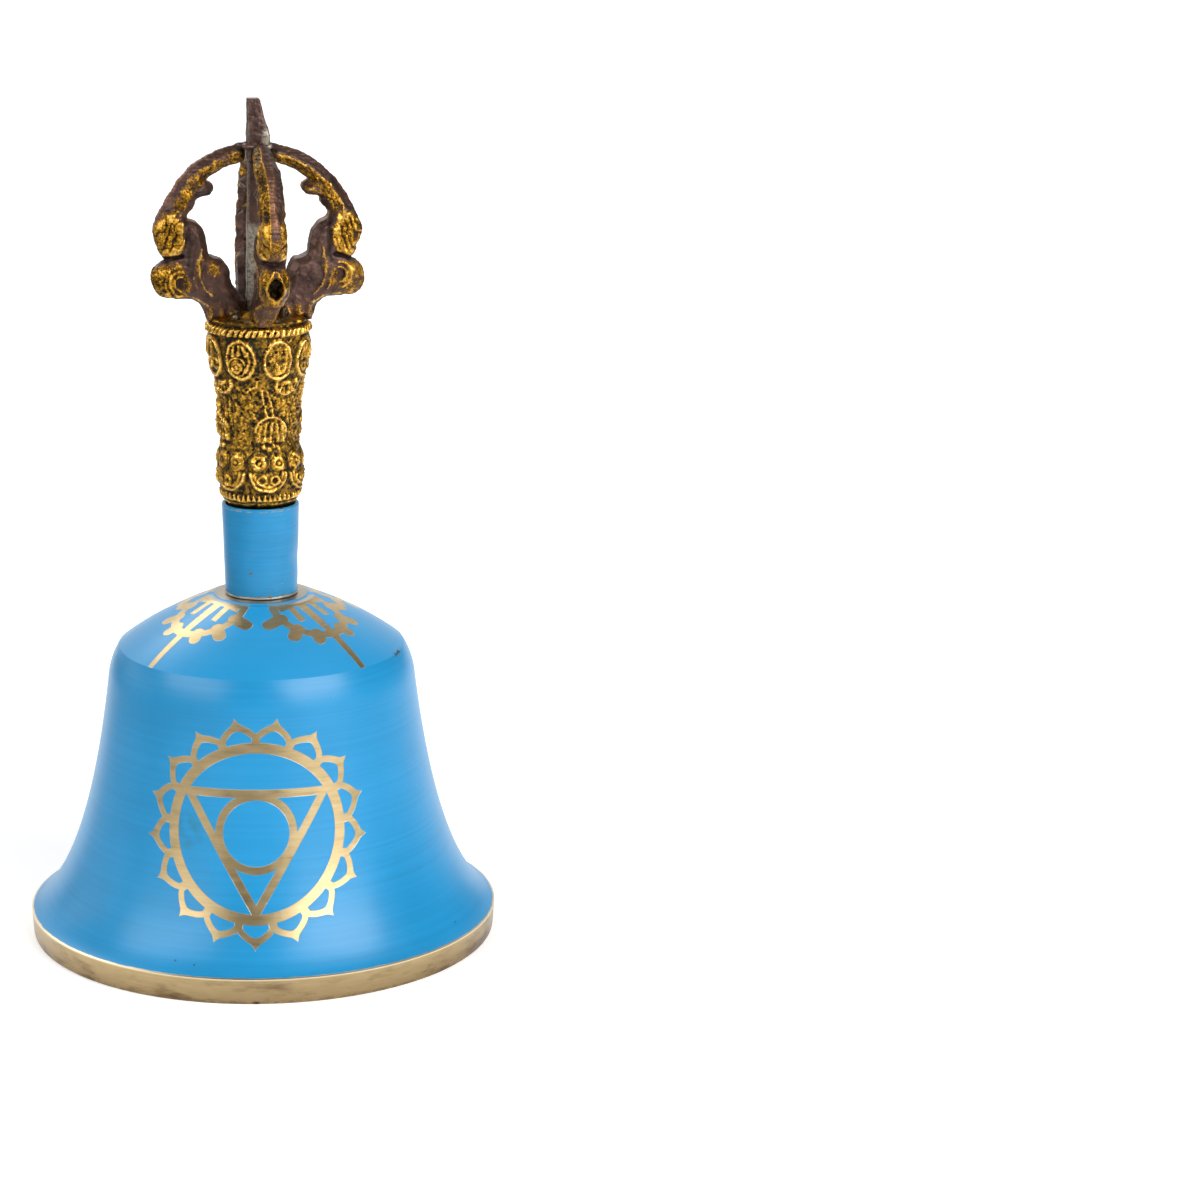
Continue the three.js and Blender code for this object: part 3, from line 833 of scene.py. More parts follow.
class BELL_OT_cup(bpy.types.Operator):
    """Turns the bell's cup with its wall, bare band, painted waist and boss"""

    bl_idname = "bell.cup"
    bl_label = "Cup"

    def execute(self, context):
        global OUTSIDE
        cup = context.scene.bell_cup
        OUTSIDE = cup_outside(cup)
        lip = cup.lip / MM
        foot = lip - 0.33
        lip_line = [
            (foot - 0.5, 0.0), (foot - 0.28, 0.04), (foot - 0.1, 0.18), (foot, 0.5), (foot + 0.12, 1.9),
            (foot + 0.2, 3.4), (lip - 0.06, 4.5), (lip - 0.02, 4.9), (lip, 5.15),
        ]
        top = [(11.2, 72.3), (10.9, 72.36), (10.4, 72.37), (9.9, 72.42), (9.55, 72.66), (9.3, 72.71)]
        outer = np.vstack([lip_line, OUTSIDE, top])
        slope = np.gradient(OUTSIDE, axis=0)
        slope /= np.hypot(*slope.T)[:, None]
        thick = cup_wall(OUTSIDE[:, 1], cup.wall / MM)[:, None]
        inner = OUTSIDE + np.c_[-slope[:, 1], slope[:, 0]] * thick
        keep = (inner[:, 0] < foot - 3.62) & (inner[:, 0] > 10) & (inner[:, 1] < 69.85)
        inner = inner[keep][::-1][::2]
        ends = [(3.4, 72.71), (3.4, 69.91), (9.5, 69.91)]
        seat = [(foot - 3.6, 1.2), (foot - 3.6, 0.4), (foot - 3.35, 0.08), (foot - 3.0, 0.0), (foot - 0.5, 0.0)]
        profile = np.vstack([outer, ends, inner, seat])
        arcs = np.full(len(profile), -80.0)
        arcs[: len(lip_line)] = np.linspace(-6, -0.3, len(lip_line))
        on = slice(len(lip_line), len(lip_line) + len(OUTSIDE))
        arcs[on] = arcs_of(OUTSIDE)
        arcs[on.stop : len(outer)] = arcs[on.stop - 1] + 1
        arcs[-1] = -6
        piece = turned("cup", profile, cup.facets, cup_finish(cup), arcs)
        azimuth_corners(piece)
        crease(piece, 12)
        finish_piece(piece, "bell", "bell_body")
        return {"FINISHED"}


# Sleeve


def enamel_finish(cup, foot, rim):
    """The cup's enamel on a beaten tube, chipped along its foot and rim."""
    made = Finish("blue enamel, chipped")
    cloud = made.grain(0.10, detail=3.0, shift=2.0)
    streak = made.grain(0.08, 2.6, detail=4.0, shift=5.0)
    tone = made.ramp(
        cloud * 0.5 + streak * 0.5,
        (0.32, tuple(0.80 * c for c in cup.enamel)),
        (0.5, tuple(0.96 * c for c in cup.enamel)),
        (0.7, tuple(min(1.0, 1.06 * c + 0.01) for c in cup.enamel)),
    )
    torn = made.grain(0.55, 0.9, detail=5.0, roughness=0.65, shift=11.0)
    low = (foot + 1.5 - made.z) / 1.5
    high = (made.z - (rim - 0.45)) / 0.45
    worn = (torn + low.most(0.0) * 0.13 + high.most(0.0) * 0.06 - 0.665).between(0.0, 0.02)
    worn = worn.most(made.specks(0.55, 0.06, 3.0) * 0.9)
    rubbed = inside(abs(made.z - (rim - 0.5) - (torn - 0.5) * 1.6) - 0.07, 0.08) * torn.between(0.42, 0.5)
    inner = inside(hypot(made.x, made.y) - 7.0, 0.1)
    ragged = made.grain(0.45, detail=4.0, shift=15.0)
    hem = inside(made.z - (foot + 0.25) - (ragged - 0.45) * 2.2, 0.12)
    bare = worn.most(inner).most(hem).most(rubbed)
    dirt = made.grain(0.8, detail=3.0, shift=7.0)
    metal = made.ramp(dirt, (0.35, (0.10, 0.055, 0.025)), (0.55, (0.34, 0.22, 0.10)), (0.7, (0.55, 0.50, 0.42)))
    # the bare line at the foot is near-white: the colour of solder, and a painted highlight along the chipped edge
    metal = made.mix(hem * inside(made.z - foot - 0.45, 0.3), metal, (0.78, 0.76, 0.70))
    metal = made.mix(rubbed, metal, (0.46, 0.42, 0.36))
    made.set(
        Base_Color=made.mix(bare, tone, metal),
        Metallic=bare * 0.85,
        Roughness=made_mix(bare, streak * 0.12 + 0.28, 0.42),
    )
    coat = made.relief((1.0 - bare) * 1.0, 0.05)
    made.set(Normal=made.relief(streak * 0.5 + cloud * 0.5, 0.05, coat))
    return made.material


class BELL_OT_sleeve(bpy.types.Operator):
    """Rolls the painted sleeve between the cup and the grip, with its dents and beaten foot"""

    bl_idname = "bell.sleeve"
    bl_label = "Sleeve"

    def execute(self, context):
        cup, sleeve = context.scene.bell_cup, context.scene.bell_sleeve
        foot, rim = span("neck_sleeve")
        base = 7.45
        top = SLEEVE_HIGH.x / MM
        heights = np.linspace(foot + 0.5, rim - 0.5, 60)
        sides = [(base + (top - base) * (z - foot) / (rim - foot), z) for z in heights]
        profile = [
            (6.65, foot + 0.12), (6.75, foot - 0.1),
            (base - 0.1, foot - 0.12), (base + 0.02, foot), (base, foot + 0.2),
            *sides, (top, rim - 0.25), (top - 0.08, rim - 0.08), (top - 0.25, rim), (top - 0.62, rim),
            (top - 0.78, rim - 0.12), (7.1, rim - 0.5), (6.7, foot + 0.8), (6.65, foot + 0.12),
        ]
        piece = turned("sleeve", profile, sleeve.facets, enamel_finish(cup, foot, rim))
        points = vertices_of(piece)
        angle = np.arctan2(points[:, 0], -points[:, 1])
        z = points[:, 2]
        dent = -sleeve.dent / MM * ridge(wrapped(angle - math.radians(66)) * 7.6, 2.6) * ridge(z - 80.5, 2.3)
        dent -= 0.12 * ridge(wrapped(angle + math.radians(20)) * 7.6, 1.6) * ridge(z - 81.5, 1.2)
        spread = sleeve.flare / MM * np.exp(-(z - foot) / 0.9) * (0.55 + 0.45 * np.sin(angle - 0.4))
        wave = 0.05 * rough(points, 5.0, 3) + 0.10 * np.exp(-(z - foot) / 0.8) * rough(points, 1.6, 4)
        outward = points * (1, 1, 0) / np.hypot(points[:, 0], points[:, 1])[:, None]
        set_vertices(piece, points + outward * (dent + spread + wave)[:, None])
        crease(piece, 50)
        finish_piece(piece, "bell", "neck_sleeve")
        return {"FINISHED"}


# Grip


def shaped(x, y, kind, grit):
    """One oval medallion, about its centre."""
    oval = np.hypot(x / 3.45, y / 4.6)
    made = 0.22 * (1 - smooth(oval, 0.84, 1.04)) + 0.62 * ridge(oval - 0.86, 0.085)
    field = 1 - smooth(oval, 0.64, 0.78)
    if kind == 0:
        inner = 0.95 * dome(x + 0.75, y + 1.5, 1.5) - 0.35 * ridge(np.hypot(x + 0.75, y + 1.5) - 0.5, 0.22)
        inner += 0.55 * ridge(np.hypot(x + 0.75, y + 1.5) - 1.85, 0.2)
        for middle in (-1.35, -0.1, 1.15):
            inner += 0.62 * ridge(to_segment(x, y, (middle, 0.95), (middle * 0.75, 3.1)), 0.34)
        inner += 0.5 * ridge(to_path(x, y, (1.6, 1.6), (2.0, -0.6), (1.2, -2.6)), 0.26)
    elif kind == 1:
        inner = 0.5 * np.abs(grit) + 0.35 * dome(x - 0.2, y + 2.0, 1.6)
        inner += 0.30 * ridge(to_path(x, y, (1.7, 2.2), (1.9, -0.5), (0.6, -2.9)), 0.45)
    elif kind == 2:
        inner = 0.5 * dome(x + 0.4, y + 1.9, 1.15) - 0.5 * dome(x + 0.4, y + 1.9, 0.55)
        for middle in (-1.5, -0.4, 0.7, 1.8):
            inner += 0.5 * ridge(to_segment(x, y, (middle * 0.8, -0.2), (middle, 3.2)), 0.28)
    else:
        inner = 0
        for side in (-1, 1):
            curl = np.hypot(x - side * 1.1, y + 1.3)
            inner = inner + 0.55 * ridge(curl - 0.95, 0.25)
        inner = inner + 0.55 * ridge(to_segment(x, y, (0, -0.2), (0.1, 3.2)), 0.35)
    return made + field * inner


def fanned(x, y):
    """A ribbed fan under an arched rim, with berries at its foot and two ridges over it."""
    oval = np.hypot(x / 3.7, (y - 15.8) / 3.6)
    below = smooth(y, 13.3, 14.1)
    pad = 0.45 * (1 - smooth(oval, 0.9, 1.05)) * below
    made = pad + 0.5 * ridge(oval - 0.92, 0.09) * smooth(y, 15.4, 16.6)
    for middle in (-2.7, -1.35, 0.0, 1.35, 2.7):
        foot = (middle * 1.06, 14.2)
        made += 0.55 * ridge(to_segment(x, y, foot, (middle * 0.82, 17.7 - 0.22 * abs(middle))), 0.36)
    for middle, height in ((-1.6, 13.0), (-0.5, 12.5), (0.6, 13.1), (1.6, 12.7)):
        made += 0.5 * dome(x - middle, y - height, 0.62)
    made += 0.6 * ridge(to_path(x, y, (-2.3, 24.6), (-1.7, 22.3), (-1.0, 19.4)), 0.3)
    made += 0.6 * ridge(to_path(x, y, (-1.0, 24.4), (-0.2, 22.2), (0.35, 19.4)), 0.3)
    made += 0.25 * ridge(to_segment(x, y, (2.6, 24.0), (2.9, 19.2)), 0.28)
    return made + 0.22 * ridge(to_segment(x, y, (4.1, 24.0), (4.2, 18.0)), 0.28)


def lobed(x, y):
    """A hanging scallop under the medallions."""
    oval = np.hypot(x / 3.1, (y - 26.3) / 2.9)
    lower = 1 - smooth(y, 26.2, 27.0)
    made = (0.35 * (1 - smooth(oval, 0.85, 1.05)) + 0.45 * ridge(oval - 0.88, 0.12)) * lower
    for middle in (-1.6, -0.5, 0.6, 1.7):
        made += 0.4 * ridge(to_segment(x, y, (middle * 0.4, 26.2), (middle, 24.4)), 0.28) * lower
    return made


def petalled(x, y, plain):
    """A lotus petal: two round bosses over a double U."""
    made = 0
    for side in (-1, 1):
        away = np.hypot(x - side * 2.15, y - 9.5)
        made = made + 0.85 * dome(x - side * 2.15, y - 9.5, 1.85) - 0.4 * ridge(away - 0.55, 0.22)
        made += 0.25 * ridge(away - 2.05, 0.2)
        made += (0.5 * ridge(np.hypot(x - side * 1.35, y - 5.9) - 0.85, 0.24)) * (1 - plain)
    cup = np.hypot(x / 4.25, (y - 7.5) / 4.2)
    low = 1 - smooth(y, 7.0, 7.9)
    pad = 0.3 * (1 - smooth(cup, 0.92, 1.06))
    made += (pad + 0.55 * ridge(cup - 0.94, 0.075) + 0.42 * ridge(cup - 0.72, 0.07)) * low
    return made + plain * 0.75 * (dome(x + 0.3, y - 5.6, 1.25) - 0.6 * dome(x + 0.3, y - 5.6, 0.6))


def grip_carving(grip, radius, angle, h, points):
    """How far the carving stands from the plain grip, at each angle and height."""
    grit = rough(points, 0.42, 21, 2)
    loose = rough(points, 3.0, 22, 2)
    angle = angle + 0.016 * loose + 0.015 * rough(points, 1.4, 27, 2)
    h = h + 0.14 * rough(points, 3.4, 23, 2) + 0.13 * rough(points, 1.4, 28, 2)
    made = np.zeros_like(h)
    kinds = (1, 2, 3, 1, 0, 2, 3, 0)
    for i in range(grip.medallions):
        x = radius * wrapped(angle - math.radians(16.5) - i * 2 * math.pi / grip.medallions)
        made += shaped(x, h - 31.05, kinds[i % len(kinds)], grit) * (np.abs(x) < 5)
    for i in range(4):
        x = radius * wrapped(angle - math.radians(10.9) - i * math.pi / 2)
        made += fanned(x, h) * (np.abs(x) < 6)
        x = radius * wrapped(angle - math.radians(31.0) - i * math.pi / 2)
        made += lobed(x, h) * (np.abs(x) < 4)
        x = radius * wrapped(angle + math.radians(13.0) - i * math.pi / 2)
        made += 0.45 * ridge(to_path(x, h, (-1.6, 24.3), (0.2, 25.4), (0.6, 26.6)), 0.3)
    for i in range(grip.petals):
        x = radius * wrapped(angle - math.radians(5.5) - i * 2 * math.pi / grip.petals)
        made += petalled(x, h, float(i in (2, 5))) * (np.abs(x) < 4.85)
    twist = np.abs(np.sin((angle * grip.rope - (h - 37) * 2.0) / 2 + 0.5 * rough(points, 1.9, 24, 2)))
    made += 0.75 * twist**0.8 * smooth(h, 35.65, 36.1) * (1 - smooth(h, 37.3, 37.75))
    point = np.abs(wrapped(angle * grip.beads) / math.pi)
    tooth = smooth(2.9 - 1.5 * point - h, -0.15, 0.35)
    made += 0.62 * tooth * smooth(h, 1.2, 1.5) + 0.34 * (1 - smooth(h, 0.75, 1.25))
    plain = smooth(h, 12.5, 14.5) * (1 - smooth(h, 24.5, 26.5))
    made += plain * (0.12 * grit + 0.10 * rough(points, 1.3, 25, 3))
    pits = np.maximum(0, rough(points, 0.8, 30, 2) - 0.45)
    uneven = 0.88 + 0.34 * rough(points, 2.0, 29, 2)
    return made * uneven + 0.11 * grit + 0.16 * rough(points, 1.1, 26, 3) - 0.7 * pits


def cast_finish(grip):
    """Cast brass: gilding rubbed bright on the high points over a near-black patina."""
    made = Finish("gilt cast brass")
    cavity = made.attribute("cavity")
    fine = made.grain(2.6, detail=5.0, roughness=0.7)
    broad = made.grain(0.16, detail=3.0, shift=3.0)
    worn = cavity * 0.5 + 0.5 + (fine - 0.5) * 0.42 + (broad - 0.5) * 0.55
    gilt = tuple(grip.gilt)
    shade = made.ramp(
        worn,
        (0.12, tuple(grip.patina)),
        (0.32, (0.125, 0.076, 0.018)),
        (0.52, tuple(0.46 * c for c in gilt)),
        (0.78, gilt),
        (0.98, (1.0, 0.62, 0.17)),
    )
    green = made.grain(0.35, detail=4.0, shift=8.0).between(0.58, 0.72) * (0.62 - worn).between(0.0, 0.2)
    shade = made.mix(green * 0.4, shade, (0.075, 0.080, 0.035))
    made.set(Base_Color=shade, Metallic=worn.between(0.0, 0.4) * 0.25 + 0.73, Roughness=0.50 - worn * 0.24)
    made.set(Normal=made.relief(fine, 0.07))
    return made.material


class BELL_OT_grip(bpy.types.Operator):
    """Casts the grip with its rope, medallions, fans and lotus petals"""

    bl_idname = "bell.grip"
    bl_label = "Grip"

    def execute(self, context):
        grip = context.scene.bell_grip
        foot = SLEEVE_HIGH.z / MM + 0.3
        top = span("grip_casting")[1]
        tall = top - foot
        outline = [(7.15, 0), *[(r, share * tall) for share, r in (
            (0.03, 8.0), (0.07, 8.45), (0.15, 8.75), (0.23, 8.75), (0.31, 8.5), (0.38, 8.15), (0.5, 8.6),
            (0.6, 8.8), (0.68, 9.4), (0.76, 10.0), (0.86, 10.4), (0.92, 10.5),
        )], (9.9, tall)]
        curve = catmull(outline, np.linspace(0, 1, 600))
        columns, rows = grip.around, 236
        h = np.linspace(0, tall, rows)
        base = np.interp(h, curve[:, 1], curve[:, 0])
        base += 0.42 * smooth(h, 35.2, 36.2) * (1 - smooth(h, tall - 0.9, tall))
        angle = np.arange(columns) * 2 * math.pi / columns
        grid_a, grid_h = np.meshgrid(angle, h, indexing="ij")
        grid_r = np.broadcast_to(base, grid_a.shape)
        spot = round_axis(grid_r, grid_a, grid_h)
        carved = grip_carving(grip, grid_r, wrapped(grid_a), grid_h, spot) * (grip.relief / MM)
        edge = smooth(grid_h, 0.0, 0.5) * (1 - smooth(grid_h, tall - 0.5, tall))
        cell = 2 * math.pi * 9 / columns
        dip = carved - blurred(carved, 0.75 / cell, 0.75 / (tall / rows), ring=True)
        reach = grid_r - 0.30 + carved * edge
        side = round_axis(reach, grid_a, grid_h + foot)
        # the spigot with its bore below, and a low mound between the prongs' feet above
        ends = np.array([(3.4, foot + 9.4), (3.4, foot - 7), (6.75, foot - 7), (6.75, foot - 0.05)])
        below = round_axis(ends[:, 0], angle[:, None], ends[:, 1])
        mound = np.array([
            (10.0, 0.25), (9.75, 0.7), (9.3, 1.1), (8.6, 1.4), (7.6, 1.6), (6.4, 1.75), (5.0, 1.85), (3.5, 1.9),
            (2.0, 1.9),
        ])
        above = round_axis(mound[:, 0], angle[:, None], top + mound[:, 1])
        lumpy = 1 + 0.05 * rough(above, 2.6, 31, 2)[..., None] + 0.03 * rough(above, 0.9, 32, 2)[..., None]
        above = (above - (0, 0, top)) * (lumpy * (1, 1, 0) + (0, 0, 1) * (0.75 + 6 * (lumpy - 1))) + (0, 0, top)
        grid = np.concatenate([below, side, above], axis=1)
        count_up = grid.shape[1]
        points = [*grid.reshape(-1, 3), (0, 0, foot + 9.4), (0, 0, top + 1.4)]
        i, j = np.meshgrid(np.arange(columns), np.arange(count_up - 1), indexing="ij")
        this, that = i * count_up + j, ((i + 1) % columns) * count_up + j
        faces = np.stack([this, that, that + 1, this + 1], axis=-1).reshape(-1, 4).tolist()
        low, high = columns * count_up, columns * count_up + 1
        for i in range(columns):
            a, b = i * count_up, ((i + 1) % columns) * count_up
            faces += [[low, b, a], [high, a + count_up - 1, b + count_up - 1]]
        piece = mesh_piece("grip", points, faces)
        face_outwards(piece)
        cavity = np.full((columns, count_up), -0.6)
        cavity[:, len(ends) : len(ends) + rows] = np.clip(dip / 0.26, -1, 1)
        cavity[:, len(ends) + rows :] = 0.5 * rough(above, 1.1, 33, 3) - 0.12
        set_attributes(piece, cavity=np.append(cavity.ravel(), (-1, -0.6)))
        finish_piece(piece, "bell", "grip_casting", cast_finish(grip))
        return {"FINISHED"}


# Prongs


FOOT = span("prong_right")[0]
ARCH_RADIUS, ARCH_BAND, ARCH_CENTRE = 20.7, 3.8, 15.1
TURNINGS = {
    "jaw": [
        (10.7, 0), (11.9, 3.0), (13.8, 4.4), (17.2, 4.5), (20.1, 5.3), (21.4, 8.0), (20.8, 10.4), (19.0, 12.3),
    ],
    "bulb": [(19.0, 12.3), (20.5, 15.4), (21.2, 18.0), (20.4, 20.6), (19.5, 22.6)],
    "hook": [
        (10.4, 28.2), (9.2, 27.6), (8.9, 26.3), (9.8, 25.3), (12.2, 24.7), (12.9, 23.3), (14.2, 21.7),
        (14.1, 20.5),
    ],
    "neck": [
        (12.5, 19.7), (11.1, 18.0), (10.5, 15.4), (10.2, 13.4), (8.9, 12.6), (7.1, 12.0), (6.0, 9.8),
        (5.5, 7.2), (3.0, 4.0),
    ],
}


def prong_outline():
    """The prong's outline in its own plane: reach from the axis, and height over its foot."""
    start, root = math.radians(28.6), math.radians(54.4)
    inner = ARCH_RADIUS - ARCH_BAND
    tip = TIP_HIGH.y / MM + 0.1

    def arc(radius, a, b):
        angles = np.linspace(a, b, 30)
        return np.c_[radius * np.cos(angles), ARCH_CENTRE + radius * np.sin(angles)]

    outer = arc(ARCH_RADIUS, start, math.acos(tip / ARCH_RADIUS))
    under = arc(inner, math.acos(tip / inner), root)
    lower = catmull(TURNINGS["jaw"], np.linspace(0, 1, 60))
    bulb = catmull([*TURNINGS["bulb"], outer[0]], np.linspace(0, 1, 48))
    inside_line = catmull([under[-1], *TURNINGS["hook"], *TURNINGS["neck"]], np.linspace(0, 1, 110))
    return np.vstack([[(3.0, -0.25), (10.7, -0.25)], lower, bulb[1:], outer[1:], under, inside_line[1:]])


def outline_distance(outline, x, y):
    """Distance to an outline at each point, under 0 inside."""
    best = np.full(x.shape, 1e9)
    odd = np.zeros(x.shape, bool)
    for (ax, ay), (bx, by) in zip(outline, np.roll(outline, -1, axis=0)):
        if ax == bx and ay == by:
            continue
        best = np.minimum(best, to_segment(x, y, (ax, ay), (bx, by)))
        if ay != by:
            odd ^= ((ay > y) != (by > y)) & (x < (bx - ax) * (y - ay) / (by - ay) + ax)
    return np.where(odd, -best, best)


def prong_half(y):
    """Half the thickness of a prong at a height over its foot."""
    top = ARCH_CENTRE + ARCH_RADIUS
    middle = 8.0 + (7.6 - 8.0) * smooth(y, 7.8, 17.8)
    return (middle + (5.2 - middle) * smooth(y, 17.8, top)) / 2


def prong_carving(x, y, grit, lively, seed):
    """Height of the carving on a prong's faces, how gilt each part of it is, and how dark it is painted."""
    spot = np.stack([x, y, np.full_like(x, seed * 3.7)], axis=-1)
    x = x + 0.24 * rough(spot, 2.1, seed + 11, 2)
    y = y + 0.24 * rough(spot, 2.1, seed + 12, 2)
    loose = rough(spot, 1.1, seed + 13, 3)
    bulb = np.hypot((x - 18.0) / 3.7, (y - 17.3) / 5.3)
    on_bulb = 1 - smooth(bulb + 0.16 * loose, 0.70, 1.06)
    slant = (x * 0.9 + y * 0.42) * math.pi / 1.5 + 2.0 * rough(spot, 2.4, seed + 14, 2)
    vein = 1 - 2 * ridge(np.sin(slant), 0.34)
    made = on_bulb * (0.50 + 0.15 * vein + 0.07 * grit + 0.09 * loose)
    made += 0.22 * ridge(np.hypot(x - 17.6, y - 20.9) - 0.6, 0.24)
    notch = ridge(to_path(x, y, (22.5, 12.0), (18.5, 12.2), (15.6, 13.2)), 0.42)
    made -= 0.95 * notch
    # the scroll behind the snout, open towards the axis
    sx, sy = 15.6 + 0.8 * (1 - lively), 7.6 + 1.7 * (1 - lively)
    away = np.hypot(x - sx, y - sy)
    opened = 1 - smooth(np.abs(wrapped(np.arctan2(y - sy, x - sx) - 0.1)), 1.3, 1.9)
    turns = ridge(away - 1.5, 0.26) + ridge(away - 2.5, 0.28) + 0.7 * lively * ridge(away - 3.4, 0.26)
    scroll = turns * opened
    made += 0.34 * scroll - 0.14 * (1 - smooth(away, 1.0, 1.4))
    snout = np.hypot((x - 19.7) / 3.0, (y - 7.6) / 4.0)
    on_snout = 1 - smooth(snout + 0.1 * loose, 0.66, 1.05)
    cheek = 1 - smooth(np.hypot((x - 17.8) / 4.6, (y - 7.8) / 4.4), 0.75, 1.05)
    made += 0.40 * on_snout * (1 + 0.15 * grit) + cheek * 0.10 * loose
    lip = ridge(to_path(x, y, (18.6, 4.9), (15.4, 4.9), (13.0, 4.7), (10.9, 3.6)), 0.42)
    shift = 1.7 * (1 - lively)
    flame = ridge(to_path(x - shift, y, (11.5, 14.6), (12.4, 11.8), (12.1, 9.4), (11.4, 7.0), (9.8, 5.4)), 0.27)
    flame += 0.7 * ridge(to_path(x - shift, y, (12.7, 12.6), (13.3, 10.4), (13.1, 8.0), (12.4, 6.2)), 0.24)
    tongue = 1 - smooth(np.hypot((x - shift - 12.1 + 0.12 * (y - 11.4)) / 1.15, (y - 11.2) / 3.2), 0.5, 1.05)
    made += 0.30 * lip + 0.30 * flame + 0.10 * tongue * (1 + loose)
    leaf = (1 - smooth(np.hypot((x - 9.2) / 2.4, (y - 10.4) / 3.4), 0.2, 1.1)) * smooth(loose, -0.8, 0.4)
    made += leaf * 0.12 * (1 + grit)
    radius = np.hypot(x, y - ARCH_CENTRE)
    on_arch = smooth(y, 19.5, 22.5) * smooth(radius, 16.0, 17.2)
    inner_band = on_arch * (1 - smooth(radius, 18.5, 18.9))
    broken = smooth(loose, -0.7, 0.2)
    line = ridge(radius - 18.8, 0.24) * (0.45 + 0.55 * broken) * (1 - 0.8 * lively)
    grains = on_arch * lively * 0.12 * grit * (1 - smooth(radius, 19.4, 20.0))
    made += on_arch * 0.34 * line + inner_band * 0.10 * grit * (1 - lively) + grains
    made -= on_arch * 0.12 * smooth(radius, 19.1, 19.6)
    hook = 1 - smooth(np.hypot((x - 11.4) / 3.2, (y - 26.2) / 2.2), 0.6, 1.0)
    made += hook * 0.22 * ridge(to_path(x, y, (15.6, 23.5), (12.6, 25.6), (9.6, 26.6)), 0.4)
    made -= 0.35 * ridge(to_path(x, y, (14.6, 20.2), (13.9, 16.0), (14.4, 11.6)), 0.65)
    made += 0.12 * np.sin(x * 2.6) * (1 - smooth(y, 2.0, 5.0)) + 0.07 * loose
    band = inner_band * (0.70 + 0.2 * broken + 0.15 * grit) + on_arch * 0.95 * line
    stipple = on_arch * lively * (0.50 + 0.05 * grit + 0.08 * loose) * (1 - 0.8 * smooth(radius, 19.2, 20.1))
    gilt = np.maximum.reduce([
        on_bulb * (0.80 + 0.14 * lively + 0.12 * vein), on_snout * (0.56 + 0.46 * lively),
        cheek * (0.58 + 0.22 * lively + 0.2 * loose), scroll * 0.85, lip * 0.55, flame * 0.55,
        tongue * (0.40 + 0.12 * lively + 0.15 * loose), leaf * (0.15 + 0.62 * lively),
        np.clip(band, 0, 1), stipple,
        hook * 0.7 * (1 - lively), (0.56 + 0.3 * loose) * (1 - smooth(y, 1.0, 4.5)),
        0.42 * lively * smooth(loose, 0.1, 0.6) * (1 - smooth(y, 6, 10)),
    ])
    # painted shade: the crease under the bulb is painted near-black, along with dark patina; the hooks of the
    # livelier prongs are darkened as patina
    under_bulb = to_path(x, y, (22.5, 12.0), (18.5, 12.2), (15.6, 13.2))
    hollow = np.maximum(0.9 * ridge(under_bulb, 0.55), 0.4 * hook * lively)
    return made, gilt, hollow


def patina_finish(finial):
    """Brown patina with the gilding rubbed through on the carving, and painted shade and highlights from the
    pieces' attributes.
    """
    made = Finish("patina and gilt")
    cavity = made.attribute("cavity")
    gilt = made.attribute("gilt")
    hollow = made.attribute("hollow")
    copper = made.attribute("copper")
    smear = made.attribute("smear")
    fine = made.grain(2.2, detail=5.0, roughness=0.7)
    broad = made.grain(0.22, detail=4.0, shift=3.0)
    patch = made.grain(0.55, detail=4.0, roughness=0.65, shift=6.0)
    brown = tuple(finial.patina)
    patina = made.ramp(
        broad * 0.55 + patch * 0.45,
        (0.36, tuple(0.42 * c for c in brown)),
        (0.49, brown),
        (0.62, (brown[0] * 1.35, brown[1] * 1.3, brown[2] * 1.1)),
        (0.74, (0.24, 0.145, 0.080)),
    )
    finer = made.grain(4.6, detail=3.0, roughness=0.7, shift=21.0)
    stippled = cavity * 0.6 + (fine - 0.5) * 2.8 + (finer - 0.5) * 1.8 + (patch - 0.5) * 0.6
    shine = (gilt * 1.25 - 0.60 + stippled * 0.55).between(-0.12, 0.42)
    gold = made.ramp(
        cavity * 0.50 + 0.40 + (fine - 0.5) * 1.9 + (finer - 0.5) * 1.2 + (broad - 0.5) * 0.6,
        (0.26, (0.030, 0.018, 0.008)),
        (0.46, tuple(0.42 * c for c in finial.gilt)),
        (0.68, tuple(finial.gilt)),
        (0.94, (0.92, 0.56, 0.13)),
    )
    rubbed = made.ramp(
        fine * 0.5 + patch * 0.5, (0.36, tuple(0.35 * c for c in finial.copper)), (0.58, tuple(finial.copper))
    )
    patina = made.mix((copper + (patch - 0.5) * 0.8 * copper).clamped(), patina, rubbed)
    shade = made.mix(shine, patina, gold)
    speckle = made.grain(1.6, detail=4.0, roughness=0.7, shift=13.0)
    grey = made.ramp(speckle, (0.38, tuple(0.35 * c for c in finial.solder)), (0.56, tuple(finial.solder)))
    shade = made.mix(((smear * 1.5 - 0.25) + (patch - 0.5) * 1.6 * smear).clamped(), shade, grey)
    # near-black: dark patina in the carving's low spots, with painted shade from the hollow attribute in the
    # mouths and under the bulbs
    dark = hollow.most((0.0 - cavity).between(0.25, 1.0) * 0.8)
    shade = made.mix(dark * 0.85, shade, (0.012, 0.010, 0.008))
    pits = made.specks(0.7, 0.12, 4.0)
    shade = made.mix(pits * 0.7, shade, (0.02, 0.016, 0.012))
    made.set(Base_Color=shade, Metallic=0.72 + shine * 0.22, Roughness=0.50 - shine * 0.14 - patch * 0.12)
    made.set(Normal=made.relief(fine * 0.6 + patch * 0.3 + finer * shine * 0.6 - pits * 0.5, 0.12))
    return made.material


